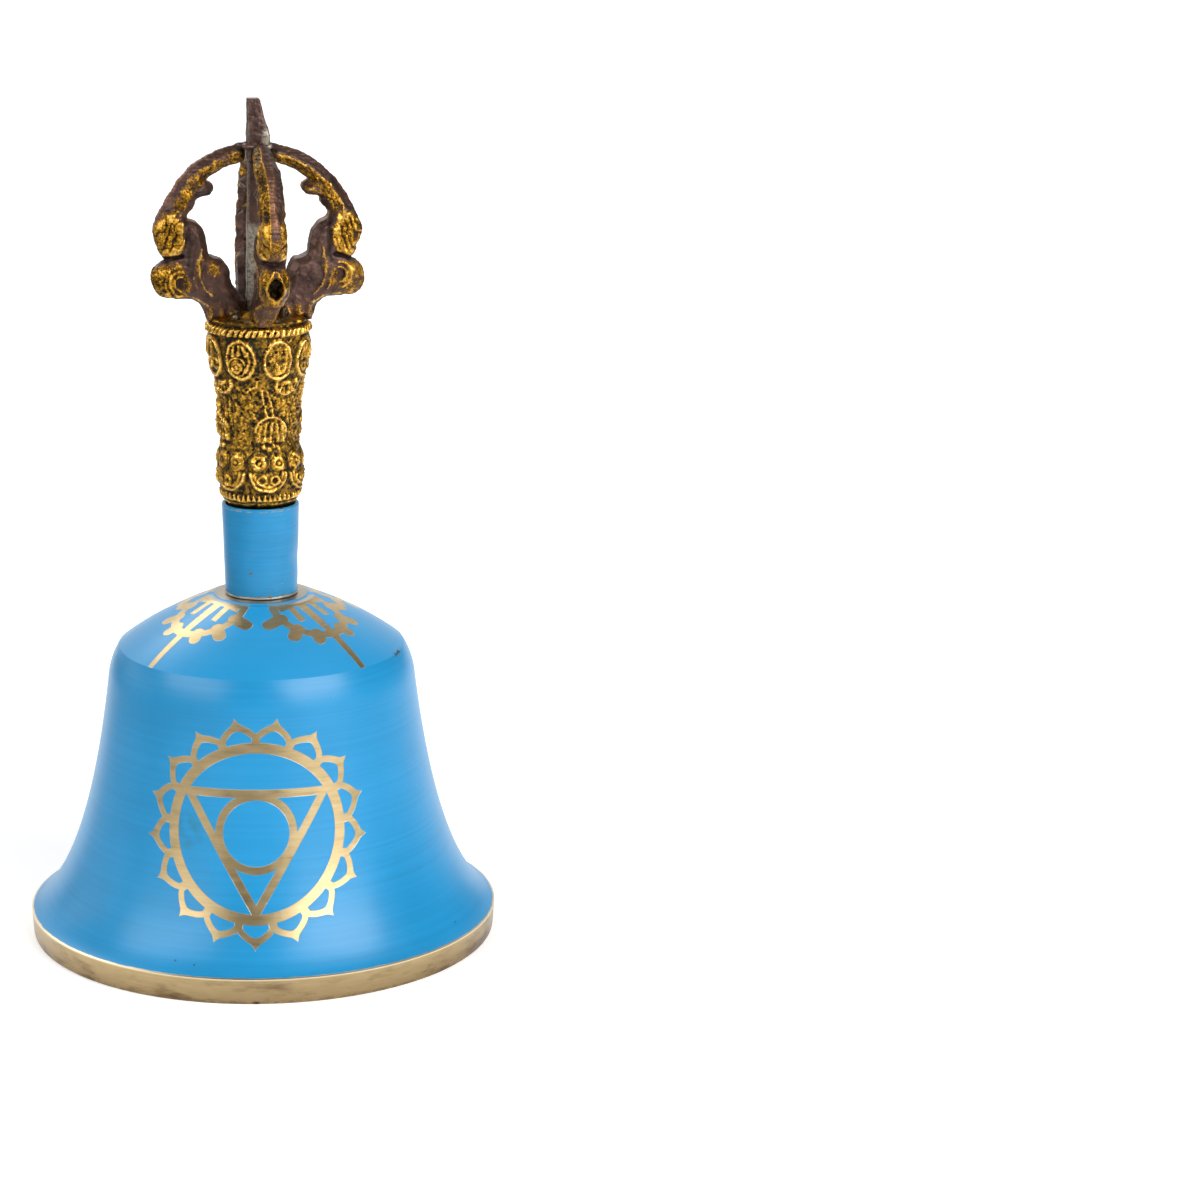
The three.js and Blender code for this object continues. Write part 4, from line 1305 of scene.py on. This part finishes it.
def prong_piece(finial, side_name, quarter, seed, lively, lift, rubbed, thin, slim, bend, finish):
    step = finial.grain / MM
    low = np.array([2.2, -5.0, -1.0])
    size = np.ceil((np.array([23.4, 5.0, 37.0]) - low) / step).astype(int)
    xs, ts, ys = (low[i] + np.arange(size[i]) * step for i in range(3))
    gx, gy = np.meshgrid(xs, ys, indexing="ij")
    warp = np.stack([gx, gy, np.full_like(gx, seed * 11.0)], axis=-1)
    raised = gy - lift * smooth(gy, 2.5, 9) * (1 - smooth(gy, 17.5, 25)) * smooth(gx, 14, 18)
    raised = raised - 0.35 * lift * smooth(gy, 28, 33) * (1 - smooth(gx, 5, 10))
    uneven = 0.12 * rough(warp, 3.2, seed, 3) + 0.10 * rough(warp, 1.3, seed + 8, 2)
    distance = outline_distance(prong_outline(), gx, raised) - uneven
    grit = rough(warp, 0.62, seed + 1, 2)
    height, gilt, hollow = prong_carving(gx, raised, grit, lively, seed)
    cavity = np.clip((height - blurred(height, 0.9 / step, 0.9 / step)) / 0.26, -1, 1)
    apex = (1 - smooth(gx, 5, 11)) * smooth(gy, 27, 33)
    outwards = 0.95 * smooth(gx, 14.2, 17.2) + thin * smooth(gx, 9, 15)
    narrowed = np.maximum(outwards, slim * (1 - smooth(gy, 11, 16)))
    half = prong_half(gy) - 0.35 - narrowed - 0.5 * apex
    swollen = 1 - smooth(np.hypot((gx - 18.0) / 3.7, (raised - 17.3) / 5.3), 0.74, 1.02)
    half = half + height - 0.7 * thin * swollen + 0.08 * rough(warp, 1.2, seed + 2, 3)
    across = np.abs(ts)[None, :, None]
    edge = distance[:, None, :]
    # the open mouth and the turned lines on the outer edge
    def mouth_at(t, y, jagged):
        flat = (np.abs(t) / 1.3) ** 1.6 + (np.abs(y - 7.8 - lift) / 3.0) ** 1.6
        return flat ** (1 / 1.6) + 0.42 * jagged

    jagged = rough(warp, 1.3, seed + 5, 2)[:, None, :]
    mouth = mouth_at(ts[None, :, None], gy[:, None, :], jagged)
    outer = smooth(gx, 17.5, 19.0)[:, None, :]
    edge = edge + outer * (1.9 * (1 - smooth(mouth, 0.55, 1.0)) - 0.30 * ridge(mouth - 1.2, 0.17))
    near_bulb = 1 - smooth(np.abs(gy - 13.6), 1.0, 2.6)
    lumps = 0.22 * rough(warp, 1.5, seed + 6, 2) * smooth(gx, 18.5, 19.5) * near_bulb
    edge = edge - lumps[:, None, :]
    lines = np.sin(gy * 2 * math.pi / 0.7 + 1.2 * grit) * smooth(np.hypot(gx, gy - ARCH_CENTRE), 19.3, 19.9)
    edge = edge + (0.045 * lines * smooth(gy, 17, 19))[:, None, :]
    side = across - half[:, None, :]
    chamfer = finial.chamfer / MM
    field = np.maximum(np.maximum(edge, side), (edge + side + chamfer) * math.sqrt(0.5))
    field = np.maximum(field, (across - gx[:, None, :] + 0.02) * math.sqrt(0.5))
    points, faces = surface_net(field, low, step)
    cell = ((points[:, [0, 2]] - low[[0, 2]]) / step).round().astype(int)
    at = tuple(cell.T)
    on_face = smooth(np.abs(points[:, 1]), half[at] - 1.6, half[at] - 0.5)
    t, y = points[:, 1], points[:, 2]
    away = mouth_at(t, y, rough(np.c_[points[:, 0], y, np.full(len(y), seed * 11.0)], 1.3, seed + 5, 2))
    ahead = smooth(points[:, 0], 17.6, 19.2)
    rim = ridge(away - 1.20, 0.13) * ahead
    # painted shade: the inside of the open mouth is painted near-black
    mouth_shade = (1 - smooth(away, 0.75, 1.0)) * ahead
    out = 1 - on_face
    radius = np.hypot(points[:, 0], y - ARCH_CENTRE)
    on_out = smooth(radius, 18.9, 19.8) * smooth(y, 14.5, 16.5) * out
    wide = half[at]
    strip = (1 - smooth(np.abs(t / wide - 0.06), 0.42, 0.54)) * (0.78 + 0.22 * np.sin(y * 2 * math.pi / 0.7))
    worn = rough(points, 1.1, seed + 9, 3)
    rim = rim * (0.35 + 0.65 * smooth(worn, -0.5, 0.2))
    end_gold = (0.52 + 0.3 * worn) * ahead * smooth(y, 12.6, 14) * (1 - smooth(y, 17.0, 21.5))
    cheeks = (0.62 + 0.25 * worn) * ahead * smooth(-t, 0.6, 1.4) * smooth(y, 4, 6) * (1 - smooth(y, 11.5, 13.5))
    cheeks = np.maximum(cheeks, 0.8 * ahead * ridge(y - 13.7 - lift * 0.6, 1.0) * smooth(worn, -0.4, 0.4))
    near_out = smooth(radius, 18.3, 19.2) * smooth(y, 16, 18)
    left_edge = rubbed * 1.15 * near_out * smooth(-t / wide, 0.34, 0.44) + 0.45 * out * smooth(worn, 0.0, 0.7)
    copper = on_out * strip * smooth(y, 19.5, 22.5) * (1 - smooth(y, 26, 34.5) * 0.85)
    inner_edge = out * (1 - smooth(radius, 17.2, 18.0)) * smooth(y, 18, 21) * (0.58 + 0.3 * worn)
    turned_points = points.copy()
    on_edge = np.maximum(0.35, 0.8 * smooth(points[:, 0], 18.0, 19.0) * (1 - smooth(y, 19, 21)))
    cos, sin = math.cos(quarter), math.sin(quarter)
    aside = t + bend * (0.5 + 0.5 * smooth(points[:, 0], 5, 15)) * smooth(y, -1, 6)
    turned_points[:, 0] = points[:, 0] * cos - aside * sin
    turned_points[:, 1] = points[:, 0] * sin + aside * cos
    turned_points[:, 2] += FOOT
    piece = mesh_piece("cast_prong_" + side_name, turned_points, faces)
    face_outwards(piece)
    fine, coarse = rough(turned_points, 0.7, seed + 3, 2), rough(turned_points, 2.4, seed + 4, 2)
    along_normals(piece, 0.07 * fine + 0.09 * coarse)
    # painted highlight: a thin line along the left edge of the rubbed prongs is made bright gold through the
    # cavity attribute
    bright = ridge(-t / wide - 0.42, 0.05) * near_out * rubbed
    worn_through = [
        (0.50 + 0.35 * worn) * (1 - smooth(y, 2.0, 5.0)), gilt[at] * (on_edge + (1 - on_edge) * on_face),
        rim, end_gold, cheeks, left_edge, inner_edge,
    ]
    # darker near the axis where the prongs meet under the tip
    apex_dark = smooth(y, 31.5, 33.5) * (1 - smooth(points[:, 0], 3.4, 5.0)) * (1 - smooth(y, 34.6, 35.4)) * 0.8
    joint = smooth(y, 32.0, 33.6) * (1 - smooth(points[:, 0], 3.6, 5.6))
    foot = 0.5 * (1 - smooth(y, 0.4, 2.4)) * (1 - smooth(points[:, 0], 5, 8))
    set_attributes(
        piece,
        cavity=cavity[at] * on_face + 0.8 * np.maximum(bright, rim * rubbed),
        gilt=np.maximum.reduce(worn_through),
        hollow=np.maximum.reduce([hollow[at], mouth_shade, apex_dark]),
        copper=copper,
        smear=np.maximum(joint * smooth(worn, -0.1, 0.8) * 0.8, foot),
    )
    finish_piece(piece, "bell", "prong_" + side_name, finish)


class BELL_OT_prongs(bpy.types.Operator):
    """Casts the four arched prongs, each with its bulb, scroll and open mouth"""

    bl_idname = "bell.prongs"
    bl_label = "Prongs"

    def execute(self, context):
        finial = context.scene.bell_finial
        finish = reused("patina and gilt", patina_finish, finial)
        # name, seed, how lively its gilding is, lift of its head, rubbing of its left edge, thinning of its
        # outer and of its inner half, sideways bend
        sides = (
            ("right", 31, 0.2, 0, 0, 0, 0, 0), ("back", 47, 0.8, 0, 0.6, 0.2, 0, -0.4),
            ("left", 59, 1.0, 0, 0, 0, 0, 0), ("front", 73, 0.7, 1.5, 0.95, 0.42, 1.25, 1.3),
        )
        for quarter, (side, *values) in enumerate(sides):
            prong_piece(finial, side, quarter * math.pi / 2, *values, finish)
        return {"FINISHED"}


# Bar, tip and solder


def solder_finish(finial):
    made = Finish("soft solder")
    dirt = made.grain(0.9, detail=5.0, roughness=0.7)
    fine = made.grain(3.0, detail=3.0, shift=4.0)
    # painted highlight: the near-white top stop paints small glints into the solder's colour; the dark low stops
    # are dirt
    shade = made.ramp(
        dirt * 0.7 + fine * 0.3, (0.40, (0.030, 0.022, 0.014)), (0.55, (0.15, 0.10, 0.055)),
        (0.61, tuple(0.6 * c for c in finial.solder)), (0.70, (0.78, 0.78, 0.74)),
    )
    made.set(Base_Color=shade, Metallic=0.9, Roughness=0.46 - dirt * 0.3)
    made.set(Normal=made.relief(dirt, 0.25))
    return made.material


def edged(rings, points, reach):
    """1 where a ring's point lies at a corner of its cross-section, 0 on its flats."""
    rings = np.asarray(rings)[:, :, :2]
    bend = rings - (np.roll(rings, reach, axis=1) + np.roll(rings, -reach, axis=1)) / 2
    size = np.hypot(bend[..., 0], bend[..., 1]).ravel()
    return np.append(size / max(size.max(), 1e-9), np.zeros(len(points) - size.size))


class BELL_OT_bar(bpy.types.Operator):
    """Stands the tapered bar in the middle of the prongs, with the pitted tip over it"""

    bl_idname = "bell.bar"
    bl_label = "Bar and tip"

    def execute(self, context):
        finial = context.scene.bell_finial
        finish = reused("patina and gilt", patina_finish, finial)
        low, high = span("centre_bar")
        rings = []
        for z in np.linspace(low, high, 90):
            share = (z - low) / (high - low)
            outline = rounded(5.4 - 1.8 * share - 0.1, 3.0 - 0.6 * share, 0.35, 64)
            sway = 0.12 * math.sin(share * 5 + 1)
            wavering = 1 + 0.02 * math.sin(share * 23)
            rings.append(level(outline * wavering, z, sway * (share * (1 - share)) * 3))
        points, faces = lofted(rings)
        piece = mesh_piece("bar", points, faces)
        face_outwards(piece)
        points = vertices_of(piece)
        along_normals(piece, 0.06 * rough(points, 0.9, 81, 3) + 0.05 * rough(points, 4.0, 82, 2))
        corner = edged(rings, points, 2)
        bare = 1.25 - 1.25 * smooth(points[:, 2], low + 16, low + 21)
        # painted highlight: the bar's corners are painted lighter, gilt and grey, standing in for light along its
        # edges
        set_attributes(piece, cavity=corner * 0.8, smear=np.clip(bare + 0.7 * corner, 0, 1.25))
        crease(piece, 60)
        finish_piece(piece, "bell", "centre_bar", finish)

        low, high = span("finial_tip")
        rings = []
        high += 0.45
        for z in [low, *np.linspace(low + 0.15, high - 0.12, 60), high - 0.03, high]:
            share = max(0.0, (z - low - 5.2) / (high - low - 5.2))
            side = 4.6 - 2.0 * share - 0.12
            side -= 0.5 * max(0.0, z - high + 0.25) + 0.4 * (z < low + 0.1)
            rings.append(level(rounded(side, side, 0.55 - 0.2 * share, 64), z, 0.3 - 0.95 * share))
        points, faces = lofted(rings)
        piece = mesh_piece("tip", points, faces)
        face_outwards(piece)
        points = vertices_of(piece)
        pitted = np.maximum(0, rough(points, 0.7, 84, 2) - 0.35)
        fade = 1 - smooth(points[:, 2], high - 0.3, high)
        along_normals(piece, fade * (0.13 * rough(points, 1.4, 83, 3) - 0.34 * pitted))
        corner = edged(rings, points, 3)
        patch = smooth(points[:, 0], 0.3, 1.4) * (1 - smooth(points[:, 2], low + 5.6, low + 7.4))
        # painted highlight: the tip's corners are painted lighter along their length and gilt near the top, and
        # its left edge light grey, standing in for light along its edges
        left = 0.45 * smooth(-points[:, 0], 1.2, 2.0) * (1 - smooth(points[:, 2], high - 2, high))
        set_attributes(
            piece,
            cavity=corner * 0.9 - 0.25 + 0.4 * rough(points, 1.0, 85, 2),
            smear=np.maximum.reduce([patch * 0.8, corner * 0.3, left * smooth(corner, 0.1, 0.6)]),
            gilt=0.45 * corner * smooth(points[:, 2], high - 1.5, high - 0.5),
        )
        crease(piece, 60)
        finish_piece(piece, "bell", "finial_tip", finish)
        return {"FINISHED"}


class BELL_OT_solder(bpy.types.Operator):
    """Runs the solder round the tip and into the corners between the prongs' feet"""

    bl_idname = "bell.solder"
    bl_label = "Solder"

    def execute(self, context):
        finial = context.scene.bell_finial
        finish = solder_finish(finial)
        low, high = span("tip_solder")
        rings = []
        for spot in level(rounded(5.3, 5.3, 1.3, 96), low - 1.05):
            out = spot[:2] / np.hypot(*spot[:2])
            # fullest in the corners between the prongs
            corner = smooth(abs(spot[0] * spot[1]), 1.5, 6.0)
            lump = 0.14 + 0.62 * corner + 0.30 * float(rough(spot[None], 1.3, 91, 2)[0])
            ring = []
            for angle in np.linspace(0, 2 * math.pi, 20, endpoint=False):
                across, up = 0.85 * lump * math.cos(angle), (high - low) * 0.62 * lump * math.sin(angle)
                ring.append((*(spot[:2] + out * across), spot[2] + up))
            rings.append(ring)
        piece = mesh_piece("tip_bead", *lofted(rings, closed=True))
        face_outwards(piece)
        points = vertices_of(piece)
        along_normals(piece, 0.12 * rough(points, 0.8, 98, 2))
        right = smooth(points[:, 0], 0.8, 2.4)
        set_attributes(piece, smear=0.04 + 0.5 * right + 0.3 * rough(points, 1.2, 99, 2))
        finish_piece(piece, "bell", "tip_solder", reused("patina and gilt", patina_finish, finial))
        for side, turns in (("back_right", 0), ("back_left", 1), ("front_left", 2), ("front_right", 3)):
            node = "foot_solder_" + side
            low, high = span(node)
            rings = []
            for share in (0, 0.01, *np.linspace(0.04, 0.96, 30), 0.995, 1.0):
                size = 2.9 + (0.9 - 2.9) * share
                size *= 1 - 0.6 * smooth(share, 0.9, 1.0)
                outline = rounded(size * 1.05, size * 1.05, size * 0.42, 40)
                # the corner that faces away from the axis is drawn in
                far = np.clip(outline.sum(axis=1) / size, 0, 1)[:, None]
                outline = outline * (1 - 0.42 * far)
                middle = 4.2 + size * 0.5
                rings.append(level(outline, low + 0.74 * share * (high - low), middle, middle))
            points, faces = lofted(rings)
            cos, sin = math.cos(turns * math.pi / 2), math.sin(turns * math.pi / 2)
            points = points @ np.array([[cos, sin, 0], [-sin, cos, 0], [0, 0, 1]])
            piece = mesh_piece("corner_bead_" + side, points, faces)
            face_outwards(piece)
            points = vertices_of(piece)
            free = smooth(points[:, 2], low, low + 0.5)
            uneven = 0.30 * rough(points, 1.3, 92 + turns, 2) + 0.1 * rough(points, 0.5, 97, 2)
            along_normals(piece, free * uneven)
            finish_piece(piece, "bell", node, finish)
        return {"FINISHED"}


# Rod, nut, ring and clapper


def steel_finish(clapper):
    made = Finish("drawn steel")
    dirt = made.grain(0.5, detail=5.0, roughness=0.7)
    fine = made.grain(4.0, 0.8, detail=3.0, shift=4.0)
    steel = tuple(clapper.steel)
    shade = made.ramp(
        dirt * 0.75 + fine * 0.25,
        (0.36, (0.07, 0.045, 0.03)), (0.46, tuple(0.6 * c for c in steel)), (0.62, steel),
    )
    made.set(Base_Color=shade, Metallic=0.95, Roughness=0.52 - dirt * 0.3)
    made.set(Normal=made.relief(dirt * 0.6 + fine * 0.4, 0.04))
    return made.material


def brass_finish(clapper):
    """Turned brass with rings from the tool and dark tarnish."""
    made = Finish("turned brass")
    rings = made.grain(0.15, 5.0, detail=4.0, roughness=0.7)
    dirt = made.grain(0.35, detail=5.0, roughness=0.65, shift=5.0)
    brass = tuple(clapper.brass)
    shade = made.ramp(
        rings * 0.35 + dirt * 0.65,
        (0.36, (0.12, 0.07, 0.03)), (0.48, tuple(0.7 * c for c in brass)), (0.62, brass),
    )
    made.set(Base_Color=shade, Metallic=0.95, Roughness=0.44 - rings * 0.25)
    made.set(Normal=made.relief(rings, 0.03))
    return made.material


class BELL_OT_hardware(bpy.types.Operator):
    """Fits the threaded tie rod with its drilled lug, the washer and the nut"""

    bl_idname = "bell.hardware"
    bl_label = "Tie rod, washer and nut"

    def execute(self, context):
        clapper = context.scene.bell_clapper
        steel = reused("drawn steel", steel_finish, clapper)
        (foot, top), wide = span("crown_washer"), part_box("crown_washer")[1].x / MM
        profile = [
            (3.45, foot + 0.08), (3.55, foot),
            (wide - 0.25, foot), (wide - 0.07, foot + 0.07), (wide, foot + 0.25),
            (wide, top - 0.25), (wide - 0.07, top - 0.07), (wide - 0.25, top), (3.55, top), (3.45, top - 0.08),
            (3.45, foot + 0.08),
        ]
        piece = crease(turned("washer", profile, clapper.facets, steel), 50)
        finish_piece(piece, "bell", "crown_washer")

        foot, top = span("crown_nut")
        angles = np.arange(192) * 2 * math.pi / 192
        flat = 5.0 / np.cos((angles + math.pi / 6) % (math.pi / 3) - math.pi / 6)
        steps = [(foot + 0.45, 3.25), (foot, 3.65)]
        steps += [(foot + rise, 4.98 + rise * 0.86) for rise in (0.0, 0.15, 0.3, 0.45, 0.6, 0.75, 0.9)]
        steps += [(top - rise, 4.98 + rise * 0.86) for rise in (0.9, 0.75, 0.6, 0.45, 0.3, 0.15, 0.0)]
        steps += [(top, 3.65), (top - 0.45, 3.25)]
        rings = []
        for z, radius in steps:
            reach = np.minimum(flat - 0.02, radius) if radius > 4 else np.full(192, radius)
            rings.append(hoop(reach, angles, z))
        piece = mesh_piece("nut", *lofted(rings, closed=True))
        face_outwards(piece)
        crease(piece, 25)
        finish_piece(piece, "bell", "crown_nut", steel)

        foot, top = span("tie_rod")
        hole, shoulder = foot + 2.9, foot + 5.3
        step = np.array([0.15, 0.15, 0.13])
        start = np.array([-3.4, -3.4, foot - 0.4])
        xs, ys, zs = (start[i] + np.arange(n) * step[i] for i, n in enumerate((46, 46, 112)))
        x, y, z = np.meshgrid(xs, ys, zs, indexing="ij")
        turn_share = z / (clapper.pitch / MM) - np.arctan2(y, x) / (2 * math.pi)
        groove = 0.30 * np.abs((turn_share % 1) * 2 - 1) * smooth(z, shoulder - 0.2, shoulder + 0.2)
        field = np.maximum(np.hypot(x, y) - 3.0 + groove, np.maximum(foot - z, z - foot - 13.6))
        flat_side = np.maximum(np.abs(x) - 1.2, -9.0) * (z < shoulder) - 9.0 * (z >= shoulder)
        field = np.maximum(field, flat_side)
        field = np.maximum(field, 1.4 - np.hypot(y, z - hole))
        lug = surface_net(field, start, step)
        shaft = lofted([
            hoop(r, angles[::4], z)
            for z, r in ((foot + 12.9, 2.8), (foot + 13.2, 2.95), (top - 0.4, 2.95), (top, 2.6))
        ])
        piece = mesh_piece("rod", *joined(lug, shaft))
        face_outwards(piece)
        crease(piece, 50)
        finish_piece(piece, "bell", "tie_rod", steel)
        return {"FINISHED"}


class BELL_OT_clapper(bpy.types.Operator):
    """Bends the hanger ring and hangs the clapper on it"""

    bl_idname = "bell.clapper"
    bl_label = "Ring and clapper"

    def execute(self, context):
        clapper = context.scene.bell_clapper
        steel = reused("drawn steel", steel_finish, clapper)
        low, high = span("hanger_ring")
        middle, reach = (low + high) / 2, (high - low) / 2 - clapper.wire / MM
        angles = np.radians(np.linspace(2.6, 357.4, 128))
        path = np.c_[reach * np.cos(angles), 0 * angles, middle + reach * np.sin(angles)] * MM
        mesh = bpy.data.meshes.new("ring_path")
        mesh.from_pydata(path.tolist(), [(i, i + 1) for i in range(len(path) - 1)], [])
        line = bpy.data.objects.new("ring_path", mesh)
        bpy.context.collection.objects.link(line)
        with_tree(line, wire_tree(), Radius=float(clapper.wire), Facets=24, Finish=steel)
        piece = baked(line, "ring")
        piece.data.shade_smooth()
        face_outwards(piece)
        crease(piece, 60)
        finish_piece(piece, "hanger", "hanger_ring")

        foot, top = span("clapper_rod")
        eye = top - 3.9
        step = 0.16
        start = np.array([-1.9, -4.5, eye - 9.0])
        xs, ys, zs = (start[i] + np.arange(n) * step for i, n in enumerate((24, 57, 83)))
        x, y, z = np.meshgrid(xs, ys, zs, indexing="ij")
        ring = np.hypot(np.hypot(y, z - eye) - 2.6, x) - 1.28
        shank = np.maximum(np.hypot(x, y) - 1.28, np.maximum(start[2] + 0.4 - z, z - eye + 2.6))
        blend = np.clip(0.5 + (shank - ring) / 1.2, 0, 1)
        field = shank + (ring - shank) * blend - 0.6 * blend * (1 - blend)
        knot = surface_net(field, start, step)
        low, high = span("clapper_bob")
        peen, collar = low - 0.3, high + 0.3
        shape = [
            (foot, 1.1), (foot + 0.1, 1.6), (foot + 0.5, 2.05),
            (peen - 0.12, 2.36), (peen, 2.25), (peen + 0.02, 1.28),
            (collar, 1.28), (collar + 0.02, 1.75), (collar + 0.15, 1.88),
            (collar + 0.95, 1.88), (collar + 1.15, 1.75),
            (collar + 1.6, 1.32), (collar + 1.8, 1.28), (eye - 8.3, 1.28), (eye - 8.2, 1.2),
        ]
        angles = np.arange(48) * 2 * math.pi / 48
        rod = lofted([hoop(r, angles, z) for z, r in shape])
        piece = mesh_piece("shank", *joined(knot, rod))
        face_outwards(piece)
        crease(piece, 45)
        points = vertices_of(piece)
        along_normals(piece, 0.03 * rough(points, 0.9, 101, 2))
        finish_piece(piece, "clapper", "clapper_rod", steel)

        tall = high - low
        pear = catmull([(3.2, 0), (6.5, 0.16), (7.5, 0.42), (5.3, 0.76), (2.7, 1.0)], np.linspace(0, 1, 90))
        z = low + np.clip(pear[:, 1], 0, 1) * tall
        reach = np.minimum(pear[:, 0], BOB_HIGH.x / MM) - 0.02
        reach -= 0.13 * ridge(z - low - 0.62 * tall, 0.16) + 0.13 * ridge(z - low - 0.68 * tall, 0.16)
        bore = [(1.75, high), (1.6, high - 0.25), (1.6, low + 0.25)]
        profile = [(1.6, low + 0.25), (1.75, low), *zip(reach, z), *bore]
        piece = turned("bob", profile, clapper.facets, brass_finish(clapper))
        crease(piece, 40)
        finish_piece(piece, "clapper", "clapper_bob")
        return {"FINISHED"}


# Stage

FLOOR_HALF = 6000.0  # half the floor's side, in millimetres
LAMP_TARGET = Vector((0, 0, 0.08))
CAMERA_PLACE = Vector((-0.07349, -0.68529, 0.25229))
# radians: down from level, clockwise, and to the right of straight ahead
CAMERA_PITCH, CAMERA_ROLL, CAMERA_HEADING = 0.2571, 0.0152, math.radians(12)


def look_at(place, target):
    return (Vector(target) - Vector(place)).to_track_quat("-Z", "Y").to_matrix().to_4x4()


def soft_box(name, bearing, height, far, width, tall, power):
    """A soft box at a bearing from the front, towards the right, and a height over the floor, in degrees."""
    light = bpy.data.lights.new(name, "AREA")
    light.shape = "RECTANGLE"
    light.size, light.size_y = width, tall
    light.energy = power
    around, up = math.radians(bearing), math.radians(height)
    outwards = Vector((math.sin(around) * math.cos(up), -math.cos(around) * math.cos(up), math.sin(up)))
    place = LAMP_TARGET + far * outwards
    lamp = bpy.data.objects.new(name, light)
    lamp.matrix_world = Matrix.Translation(place) @ look_at(place, LAMP_TARGET)
    bpy.context.collection.objects.link(lamp)


def studio_world(stage):
    """A surround that is dark behind the camera and overhead, and bright behind the bell."""
    world = bpy.data.worlds.new("studio")
    world.use_nodes = True
    tree = world.node_tree
    back = tree.nodes["Background"]
    back.inputs["Color"].default_value = (1.0, 1.0, 1.0, 1.0)
    spot = tree.nodes.new("ShaderNodeTexCoord")
    split = tree.nodes.new("ShaderNodeSeparateXYZ")
    tree.links.new(spot.outputs["Generated"], split.inputs[0])
    ahead = Wire(tree, split.outputs[1])
    above = Wire(tree, split.outputs[2])
    dark = (ahead * -1.0).between(0.35, 0.95)
    behind = (ahead + above * 0.5).between(0.78, 0.98) * (1.0 - above.between(0.70, 0.90))
    glow = (1.0 - dark * 0.72) * stage.surround + behind * stage.backdrop
    tree.links.new(glow.socket, back.inputs["Strength"])
    bpy.context.scene.world = world


class BELL_OT_stage(bpy.types.Operator):
    """Lays the pale floor, hangs the soft boxes and sets the camera"""

    bl_idname = "bell.stage"
    bl_label = "Stage"

    def execute(self, context):
        stage = context.scene.bell_stage
        corners = [(FLOOR_HALF * x, FLOOR_HALF * y, 0) for x, y in ((-1, -1), (1, -1), (1, 1), (-1, 1))]
        floor = mesh_piece("floor", corners, [(0, 1, 2, 3)])
        paper = Finish("paper")
        fibre = paper.grain(0.002, detail=3.0)
        shade = paper.ramp(fibre, (0.3, tuple(0.985 * c for c in stage.floor)), (0.7, tuple(stage.floor)))
        # the paper ends in shade in front of the picture, and is lit from below behind it
        onward = paper.y.most(0.0)
        near = paper.y.between(-420.0, -170.0) * (paper.x + onward * 0.15).between(-200.0, -90.0)
        near = near * (1.0 - (paper.x - onward * 0.45).between(260.0, 420.0))
        shade = paper.mix(near, (0.20, 0.20, 0.20), shade)
        far = near * paper.y.between(150.0, 900.0) * 0.6
        paper.set(Base_Color=shade, Roughness=0.9, Emission_Color=(1.0, 1.0, 1.0))
        paper.set(Emission_Strength=near * stage.glow + far)
        floor.data.materials.append(paper.material)
        soft_box("key_box", 37, 32, 0.9, 0.72, 0.56, stage.key)
        soft_box("fill_box", -64, 31, 0.9, 0.80, 0.42, stage.fill)
        soft_box("low_panel", -115, 9, 0.9, 0.60, 0.26, stage.fill * 0.13)
        soft_box("back_box", -168, 42, 1.2, 0.9, 0.5, 4.0)
        studio_world(stage)
        camera = bpy.data.cameras.new("camera")
        camera.lens = stage.lens
        camera.sensor_width = 36
        camera.clip_start, camera.clip_end = 0.02, 50
        eye = bpy.data.objects.new("camera", camera)
        cos, sin = math.cos(CAMERA_HEADING), math.sin(CAMERA_HEADING)
        right = Vector((cos, -sin, 0))
        ahead = Vector((sin * math.cos(CAMERA_PITCH), cos * math.cos(CAMERA_PITCH), -math.sin(CAMERA_PITCH)))
        up = right.cross(ahead)
        across = right * math.cos(CAMERA_ROLL) + up * math.sin(CAMERA_ROLL)
        over = up * math.cos(CAMERA_ROLL) - right * math.sin(CAMERA_ROLL)
        turned_to = Matrix((across, over, -ahead)).transposed().to_4x4()
        eye.matrix_world = Matrix.Translation(CAMERA_PLACE) @ turned_to
        context.collection.objects.link(eye)
        context.scene.camera = eye
        context.scene.view_settings.view_transform = "Standard"
        return {"FINISHED"}


class BELL_PT_sidebar(bpy.types.Panel):
    """Lists the bell's steps and sizes"""

    bl_idname = "BELL_PT_sidebar"
    bl_label = "Hand bell"
    bl_space_type = "VIEW_3D"
    bl_region_type = "UI"
    bl_category = "Bell"

    def draw(self, context):
        for label, group, step in STEPS:
            box = self.layout.box()
            box.label(text=label)
            settings = getattr(context.scene, group) if group else None
            for name in settings.__annotations__ if settings else ():
                box.prop(settings, name)
            box.operator(step)


STEPS = [
    ("Cup", "bell_cup", "bell.cup"),
    ("Sleeve", "bell_sleeve", "bell.sleeve"),
    ("Grip", "bell_grip", "bell.grip"),
    ("Prongs", "bell_finial", "bell.prongs"),
    ("Bar and tip", None, "bell.bar"),
    ("Solder", None, "bell.solder"),
    ("Tie rod, washer and nut", None, "bell.hardware"),
    ("Ring and clapper", "bell_clapper", "bell.clapper"),
    ("Stage", "bell_stage", "bell.stage"),
]

SETTINGS = {
    "bell_cup": CupSettings,
    "bell_sleeve": SleeveSettings,
    "bell_grip": GripSettings,
    "bell_finial": FinialSettings,
    "bell_clapper": ClapperSettings,
    "bell_stage": StageSettings,
}
OPERATORS = [
    BELL_OT_cup, BELL_OT_sleeve, BELL_OT_grip, BELL_OT_prongs, BELL_OT_bar, BELL_OT_solder, BELL_OT_hardware,
    BELL_OT_clapper, BELL_OT_stage,
]


def register():
    for made in (*SETTINGS.values(), *OPERATORS, BELL_PT_sidebar):
        bpy.utils.register_class(made)
    for name, made in SETTINGS.items():
        setattr(bpy.types.Scene, name, PointerProperty(type=made))


def unregister():
    for name in SETTINGS:
        delattr(bpy.types.Scene, name)
    for made in (BELL_PT_sidebar, *reversed(OPERATORS), *reversed(SETTINGS.values())):
        bpy.utils.unregister_class(made)


def main():
    register()
    for _, _, step in STEPS:
        getattr(bpy.ops.bell, step.split(".")[1])()


if __name__ == "__main__":
    main()
